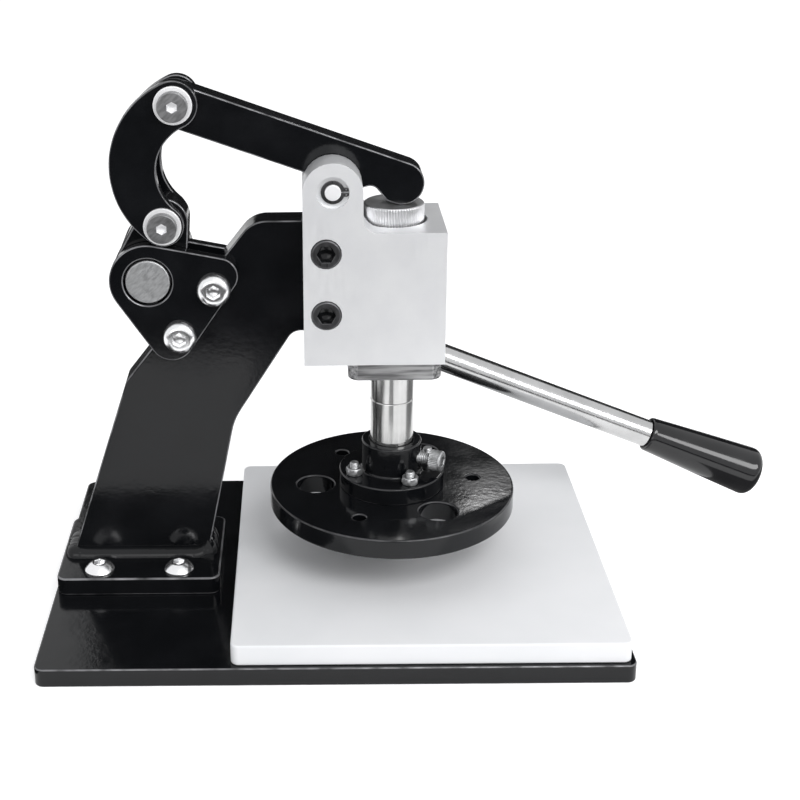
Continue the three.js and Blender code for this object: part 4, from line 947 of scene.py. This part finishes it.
link_holes = holes(PIN_HOLE, CRANK_PIN) + holes(M10_HOLE, LINK_TOP)
front_link = upright(link_outline(30.5, 14.7), LINK_FRONT, LINK_FRONT + LINK_THICK, 0.8, link_holes)
rear_link = upright(link_outline(33.0, 12.9), LINK_BACK - LINK_THICK, LINK_BACK, 0.8, link_holes)
add_piece("link_front", front_link, "links", ENAMEL)
add_piece("link_rear", rear_link, "links", ENAMEL)
report("links")

# %% Lever
LEVER_PIVOT = (2.2, 278.0)
LEVER_TILT = radians(-20.0215)
LEVER_FRONT, LEVER_BACK = -6, 12
LEVER = [
    (-119.61, 0.3, 13.35), (-15.43, 0.3, 4.5), (-12.05, -15, 15), (15, -15, 15), (15, 0.5, 0.9),
    (24.5, 7.0, 6), (35.5, 0.3, 4.5), (54.2, 0.3, 13.35), (54.2, 27, 13.35), (-119.61, 27, 13.35),
]


def tilted(x, z):
    """A point of the lever's own drawing, turned about the pivot to where it rests."""
    c, s = cos(LEVER_TILT), sin(LEVER_TILT)
    return LEVER_PIVOT[0] + x * c - z * s, LEVER_PIVOT[1] + x * s + z * c


lever_edge = rounded([(*tilted(x, z), r) for x, z, r in LEVER])
lever_holes = holes(M12_HOLE, LEVER_PIVOT) + holes(PIN_HOLE, LINK_TOP)
lever = upright(lever_edge, LEVER_FRONT, LEVER_BACK, EASE, lever_holes)
add_piece("rocking_lever", lever, "rocker", ENAMEL)
add_piece("link_pin", crosswise(rod(8, LEVER_FRONT, LEVER_BACK, 0.4), LINK_TOP), "rocker", SHAFT)
report("lever")

# %% Washers and screws of both pins
WASHER_THICK = 2
PIN_ENDS = (("front", FRONT, LINK_FRONT), ("rear", REAR, LINK_BACK))
PINS = (("crank_pin", "crank", CRANK_PIN, 14), ("link_pin", "links", LINK_TOP, 9))  # last, the shank

for pin, body, (x, z), shank in PINS:
    for side, way, face in PIN_ENDS:
        washer = placed(ring(M10_HOLE, 11.7, 0, WASHER_THICK, 0.45), (x, face, z), way)
        add_piece(f"{pin}_washer_{side}", washer, body, WASHER)
        seat = (x, face + WASHER_THICK * way[1], z)
        head = placed(cap_screw(5, shank, head=9.2, high=5, socket=6, ease=0.5), seat, way)
        # the socket takes the bright washer finish, a painted highlight in its hollow
        paint_socket_light_and_shade(add_piece(f"{pin}_screw_{side}", head, body, SCREW), seat, way, 3.6, 5, WASHER)
report("pins")

# %% [markdown]
# ## Pivot pin and clips
# A plain pin carries the lever between the two ears of the head block. Each end lies in a shallow
# pocket and wears an open spring ring with two lugs, which pliers spread to take it off.

# %% Pin and clips
PRESS_Y = 3  # the press stands this far behind the middle of the base
CLIP_THICK = 1.2


def clip_outline(x, z, inner=5.0, outer=7.2, mouth=0.45, lug=2.7, reach=9.6):
    """Outer arc, a lug below the mouth, inner arc taken backward and the lug mirrored."""
    open_out, open_in = asin(lug / outer), asin(mouth / inner)
    start, end = outer * cos(open_out), inner * cos(open_in)
    below = np.concatenate([
        corner((reach, -lug), (start, -lug), (reach, 0), 1.4),
        corner((reach, -mouth), (reach, -lug), (end, -mouth), 0.6),
    ])
    inside = arc(0, 0, inner, -open_in, -(TURN - 2 * open_in))
    around = arc(0, 0, outer, open_out, TURN - 2 * open_out)
    return anticlockwise(np.concatenate([around, below, inside, below[::-1] * (1, -1)])) + (x, z)


clip_edge = clip_outline(*LEVER_PIVOT)
clip_holes = holes(0.55, *(np.add(LEVER_PIVOT, (8.0, side * 1.6)) for side in (-1, 1)))
for side, low in (("front", -28.5), ("rear", 33.3)):
    clip = upright(clip_edge, low, low + CLIP_THICK, 0.18, clip_holes)
    add_piece(f"pivot_circlip_{side}", clip, "frame", OXIDE)
pin_half = [(0, -32.7, 0), (4.9, -32.7, 0.5), (4.9, -30, 0), (6, -30, 0.3)]
pin_rings = softened(pin_half + [(r, -h, e) for r, h, e in pin_half[::-1]])
pivot = placed(revolve(pin_rings), (LEVER_PIVOT[0], PRESS_Y, LEVER_PIVOT[1]), REAR)
add_piece("lever_pivot_pin", pivot, "frame", WASHER)
report("pivot")

# %% [markdown]
# ## Head block
# The block is one piece of aluminium with a slot for the column, two ears, a bore and several
# sunk holes. Its cuts cross in three directions, which no carried profile can give. So the plain
# solid is copied, its triangles are merged into whole faces, and a bevel eases the edges that a
# file would break.

# %% Copy the block and ease its edges
import bmesh

SAME_POINT = 0.000002  # metres
FLAT_ANGLE, BEVEL_ANGLE, CRISP_ANGLE = 0.5, 40, 50  # degrees


def merged_copy(node):
    """Merges the doubled points of the plain solid's copy and joins flat neighbours."""
    shape = bmesh.new()
    shape.from_mesh(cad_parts[node].data)
    bmesh.ops.remove_doubles(shape, verts=shape.verts, dist=SAME_POINT)
    flat = radians(FLAT_ANGLE)
    bmesh.ops.dissolve_limit(shape, angle_limit=flat, verts=shape.verts, edges=shape.edges)
    mesh = bpy.data.meshes.new(node + "_finished")
    shape.to_mesh(mesh)
    shape.free()
    smooth(mesh, CRISP_ANGLE)
    return mesh


def ease_edges(piece, width):
    """Bevels what stays sharp and weighs the normals so that flat faces look flat."""
    bevel = piece.modifiers.new("eased_edges", "BEVEL")
    bevel.width = width
    bevel.segments = 3
    bevel.limit_method = "ANGLE"
    bevel.angle_limit = radians(BEVEL_ANGLE)
    bevel.miter_outer = "MITER_ARC"
    shade = piece.modifiers.new("even_shading", "WEIGHTED_NORMAL")
    shade.weight = 100
    shade.keep_sharp = True


block = join_press("head_block", merged_copy("head_block"), "frame", ALUMINIUM)
ease_edges(block, 0.6 * MM)
report("head block")

# %% [markdown]
# ## Ram, bush, spring and cap
# The ram is a ground bar in a bush under the block. A return spring lifts it, and a knurled cap on
# its top meets the lever's nose; turning the cap sets the press's depth.

# %% Ram
RAM_X = 40.5
RAM_AXIS = (RAM_X, PRESS_Y, 0)
RAM_HOLE = 14.3
LINE_Z = 132.0  # a fine turned line round the ram

ram_corners = [
    (0, 71.3, 0), (14, 71.3, 0.8), (14, LINE_Z - 0.5, 0.2), (13.8, LINE_Z, 0.2), (14, LINE_Z + 0.5, 0.2),
    (14, 250.9, 0.6), (6.3, 250.9, 0), (6.3, 224.9, 0), (0, 224.9, 0),
]
add_piece("ram", placed(revolve(softened(ram_corners), 128), RAM_AXIS), "ram", RAM_CHROME)
report("ram")

# %% Cap
def knurled_cap(radius=19.0, low=251.19, high=263.19, ridges=66, sides=396):
    """A disc on a shank, whose side wears upright grooves that run out at both bevels."""
    grooved = ridged(radius, 0.8, ridges, sides)
    rings = softened([(0, low - 26, 0), (6, low - 26, 0.6), (6, low, 0)])
    rings += [(radius - 1.3, low), (radius - 1, low), (radius - 0.45, low + 0.5), (grooved, low + 1.1)]
    rings += [(grooved, h) for h in np.linspace(low + 2, high - 2, 4)]
    rings += [(grooved, high - 1.1), (radius - 0.45, high - 0.5), (radius - 1.1, high), (radius - 1.4, high)]
    rings += [(radius - 6, high), (2, high), (0, high)]
    return revolve(rings, sides)


add_piece("adjusting_cap", placed(knurled_cap(), RAM_AXIS), "cap", CAP)
report("cap")

# %% Bush and its screws
BUSH_LOW, BUSH_TOP, BLOCK_LOW = 155.5, 205.5, 167.5
BUSH_SINK = 161.8  # where the screw heads sit
BUSH_SCREWS = [(RAM_X + x, PRESS_Y + y) for x, y in ((-22, -22), (22, -22), (22, 22), (-22, 22))]


def bush_flange(half=29.0, cut=5.5):
    """A square plate with its four corners cut off."""
    near = half - cut
    spots = [(-half, -near), (-near, -half), (near, -half), (half, -near)]
    spots += [(-x, -y) for x, y in spots]
    edge = rounded([(RAM_X + x, PRESS_Y + y, 1.2) for x, y in spots])
    sunk = holes(RAM_HOLE, RAM_AXIS[:2]) + holes(5.5, *BUSH_SCREWS)
    return plate(edge, BUSH_LOW, BLOCK_LOW, 0.7, sunk)


def together(first, second):
    """Two closed shells in one mesh."""
    moved = [[len(first[0]) + k for k in face] for face in second[1]]
    return np.concatenate([first[0], second[0]]), first[1] + moved


barrel = placed(ring(RAM_HOLE, 20.3, BLOCK_LOW - 0.5, BUSH_TOP, 0.6), RAM_AXIS)
add_piece("guide_bush", together(bush_flange(), barrel), "frame", BUSH)
for count, (x, y) in enumerate(BUSH_SCREWS, 1):
    head = placed(cap_screw(3, 23, 5, 6, 5, ease=0.6), (x, y, BUSH_SINK), (0, 0, -1))
    add_piece(f"bush_screw_{count}", head, "frame", OXIDE)
report("bush")

# %% Spring
def spring_coil(radius=17.15, wire=1.25, turns=7, low=207.05, high=249.65, steps=48, sides=14):
    """A ring of the wire's radius stands round a point that turns and climbs evenly."""
    share = np.linspace(0, 1, turns * steps + 1)[:, None]
    angle, around = share * turns * TURN, TURN * np.arange(sides)[None] / sides
    reach = radius + wire * np.cos(around)
    rise = low + (high - low) * share + wire * np.sin(around)
    grid = np.stack([reach * np.cos(angle), reach * np.sin(angle), rise], 2)
    faces = [face[::-1] for face in strip_faces(len(share), sides)]
    last = (len(share) - 1) * sides
    return grid.reshape(-1, 3), faces + [list(range(sides)), [last + k for k in range(sides)][::-1]]


add_piece("return_spring", placed(spring_coil(), RAM_AXIS), "ram", SPRING)
report("spring")

# %% [markdown]
# ## Press plate and hub
# The round plate presses the die. Its holes let cut pieces and a peg through, and a flanged hub
# holds it to the ram with four studs and a lock screw in the collar.

# %% Press plate and hub
DISC_LOW, DISC_TOP = 58, 71
FLANGE_TOP, HUB_TOP = 82, 102.5


def spread(count, radius, turn):
    """Points on a circle round the ram, evenly spread from a first angle in degrees."""
    angle = radians(turn) + TURN * np.arange(count) / count
    return list(zip(RAM_X + radius * np.cos(angle), PRESS_Y + radius * np.sin(angle)))


STUDS = spread(4, 26.85, 23)
disc_holes = holes(12.3, *spread(3, 50, -57)) + holes(4.2, *spread(3, 54.4, 5)) + holes(5.8, *STUDS)
disc = plate(circle(RAM_X, PRESS_Y, 80), DISC_LOW, DISC_TOP, 1.0, disc_holes)
add_piece("press_disc", disc, "ram", ENAMEL, highlight_share=0.3)
hub_corners = [
    (RAM_HOLE, DISC_TOP, 0.4), (34.3, DISC_TOP, 0.6), (34.3, FLANGE_TOP, 1.0), (19.4, FLANGE_TOP, 1.6),
    (19.4, HUB_TOP, 1.0), (RAM_HOLE, HUB_TOP, 0.8),
]
add_piece("ram_hub", placed(turned_ring(hub_corners, 128), RAM_AXIS), "ram", ENAMEL, highlight_share=0.4)
report("press plate")

# %% Studs and nuts
def stud():
    """A flat head under the plate, a shank, and a thread where it stands out of its nut."""
    rings = softened([(0, 58.3, 0), (5.5, 58.3, 0.4), (5.5, 62, 0.3), (3, 62, 0)])
    return revolve(rings + [(3, 85)] + threaded(3, 0.45, 1.0, 85.2, 90.0) + [(2.3, 90.5), (0, 90.5)], 36)


for count, (x, y) in enumerate(STUDS, 1):
    add_piece(f"hub_stud_{count}", placed(stud(), (x, y, 0)), "ram", SHAFT)
    turn = radians(20 + 37 * count)  # no two nuts stop at the same angle
    nut = placed(hex_nut(10, 5, 3.1), (x, y, FLANGE_TOP), (0, 0, 1), (cos(turn), sin(turn), 0))
    add_piece(f"hub_nut_{count}", nut, "ram", SHAFT)
report("studs")

# %% Lock screw
LOCK_SEAT = 27.4  # from the ram's axis to the underside of the head
LOCK_TURN = radians(-25)
LOCK_Z = 92.25


def lock_screw(inner=14.6, seat=LOCK_SEAT, high=8.0):
    """A threaded shank that shows between collar and head, and a knurled head with a flat, bright end."""
    sides = 192
    shank = threaded(4, 0.5, 1.25, inner - seat + 0.6, -0.6, sides)
    grooved = ridged(6.8, 0.4, 36, sides)
    rings = [(0, inner - seat), (3.4, inner - seat)] + shank + [(4, -0.3), (4, 0), (6.4, 0), (6.8, 0.4)]
    rings += [(grooved, 0.9), (grooved, high - 1.8), (6.8, high - 1.4), (6.7, high - 0.7)]
    rings += [(6.2, high - 0.2), (5.8, high), (5.5, high)]
    return revolve(rings + socket_rings(6, high, 4.6, sides), sides)


lock_way = (cos(LOCK_TURN), sin(LOCK_TURN), 0)
lock_seat = (RAM_X + LOCK_SEAT * lock_way[0], PRESS_Y + LOCK_SEAT * lock_way[1], LOCK_Z)
add_piece("hub_lock_screw", placed(lock_screw(), lock_seat, lock_way, (0, 0, 1)), "ram", SHAFT)
report("lock screw")

# %% [markdown]
# ## Handle
# A hub on the shaft's back end takes a polished bar with a tapered plastic grip. The bar and the
# grip are turned along the handle's own line, which drops to the right at rest.

# %% Hub and bar
HANDLE_WAY = (cos(HANDLE_DROP), 0, -sin(HANDLE_DROP))
HANDLE_START = (CRANK_AXIS[0], 49, CRANK_AXIS[1])
BAR_END, GRIP_START = 357.7, 358.0
bar_corners = [
    (0, 14.6, 0), (6, 14.6, 0.5), (6, 23.3, 0), (9.4, 23.3, 0.8), (9.4, BAR_END, 0.5), (6, BAR_END, 0),
    (6, 412.8, 0.5), (0, 412.8, 0),
]


def along_handle(shell, start=HANDLE_START, way=HANDLE_WAY):
    return placed(shell, start, way, REAR)


hub = crosswise(ring(SHAFT_HOLE, 23, 34, 64, 1.5), CRANK_AXIS)
add_piece("handle_hub", hub, "crank", ENAMEL)
add_piece("handle_bar", along_handle(revolve(softened(bar_corners))), "crank", BAR_CHROME)
report("bar")

# %% Grip and set screw
def grip(start=GRIP_START, length=83.35, small=11.6, large=16.6, nose=8.3, bore=6.3, deep=58.8):
    """The radius grows a little faster at first, then closes as an ellipse.

    Its cosine and sine are raised to a power below one, which pushes the shoulder outward.
    """
    share = np.linspace(0, 1, 28)
    body = small + (large - small) * (1.12 * share - 0.12 * share**2)
    rings = [(0, start + deep), (bore, start + deep), (bore, start), (small - 1.2, start), (small - 0.9, start)]
    rings += [(small - 0.3, start + 0.3), (small, start + 0.9)]
    rings += list(zip(body[1:], start + (length - nose) * share[1:]))
    tip = start + length - nose
    bow = np.linspace(0, TURN / 4, 20)[1:-1]
    rings += [(large * cos(t) ** 0.84, tip + nose * sin(t) ** 0.84) for t in bow]
    return revolve(rings + [(0, start + length)])


add_piece("handle_grip", along_handle(grip()), "crank", GRIP)
grub = softened([(0, -8.1, 0), (4, -8.1, 0.4), (4, 0, 0.4), (3.2, 0, 0)])
set_seat = np.add(HANDLE_START, -22.8 * np.array(HANDLE_WAY))
set_way = tuple(-v for v in HANDLE_WAY)
set_screw = along_handle(revolve(grub + socket_rings(4, 0, 4)), set_seat, set_way)
add_piece("handle_set_screw", set_screw, "crank", OXIDE)
report("handle")

# %% [markdown]
# ## Piece that keeps its plain solid
# The key between shaft and crank arm is a square bar, and a square bar is all it is, so its solid
# stays and only takes its finish.

# %% Key
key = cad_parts["crank_key"]
key.data.materials.clear()
key.data.materials.append(BRIGHT)
print("key faces:", len(key.data.polygons))

# %% [markdown]
# ## Last update
# The finished press must be as large as the plain one. The view layer is brought up to date at the end.


bpy.context.view_layer.update()
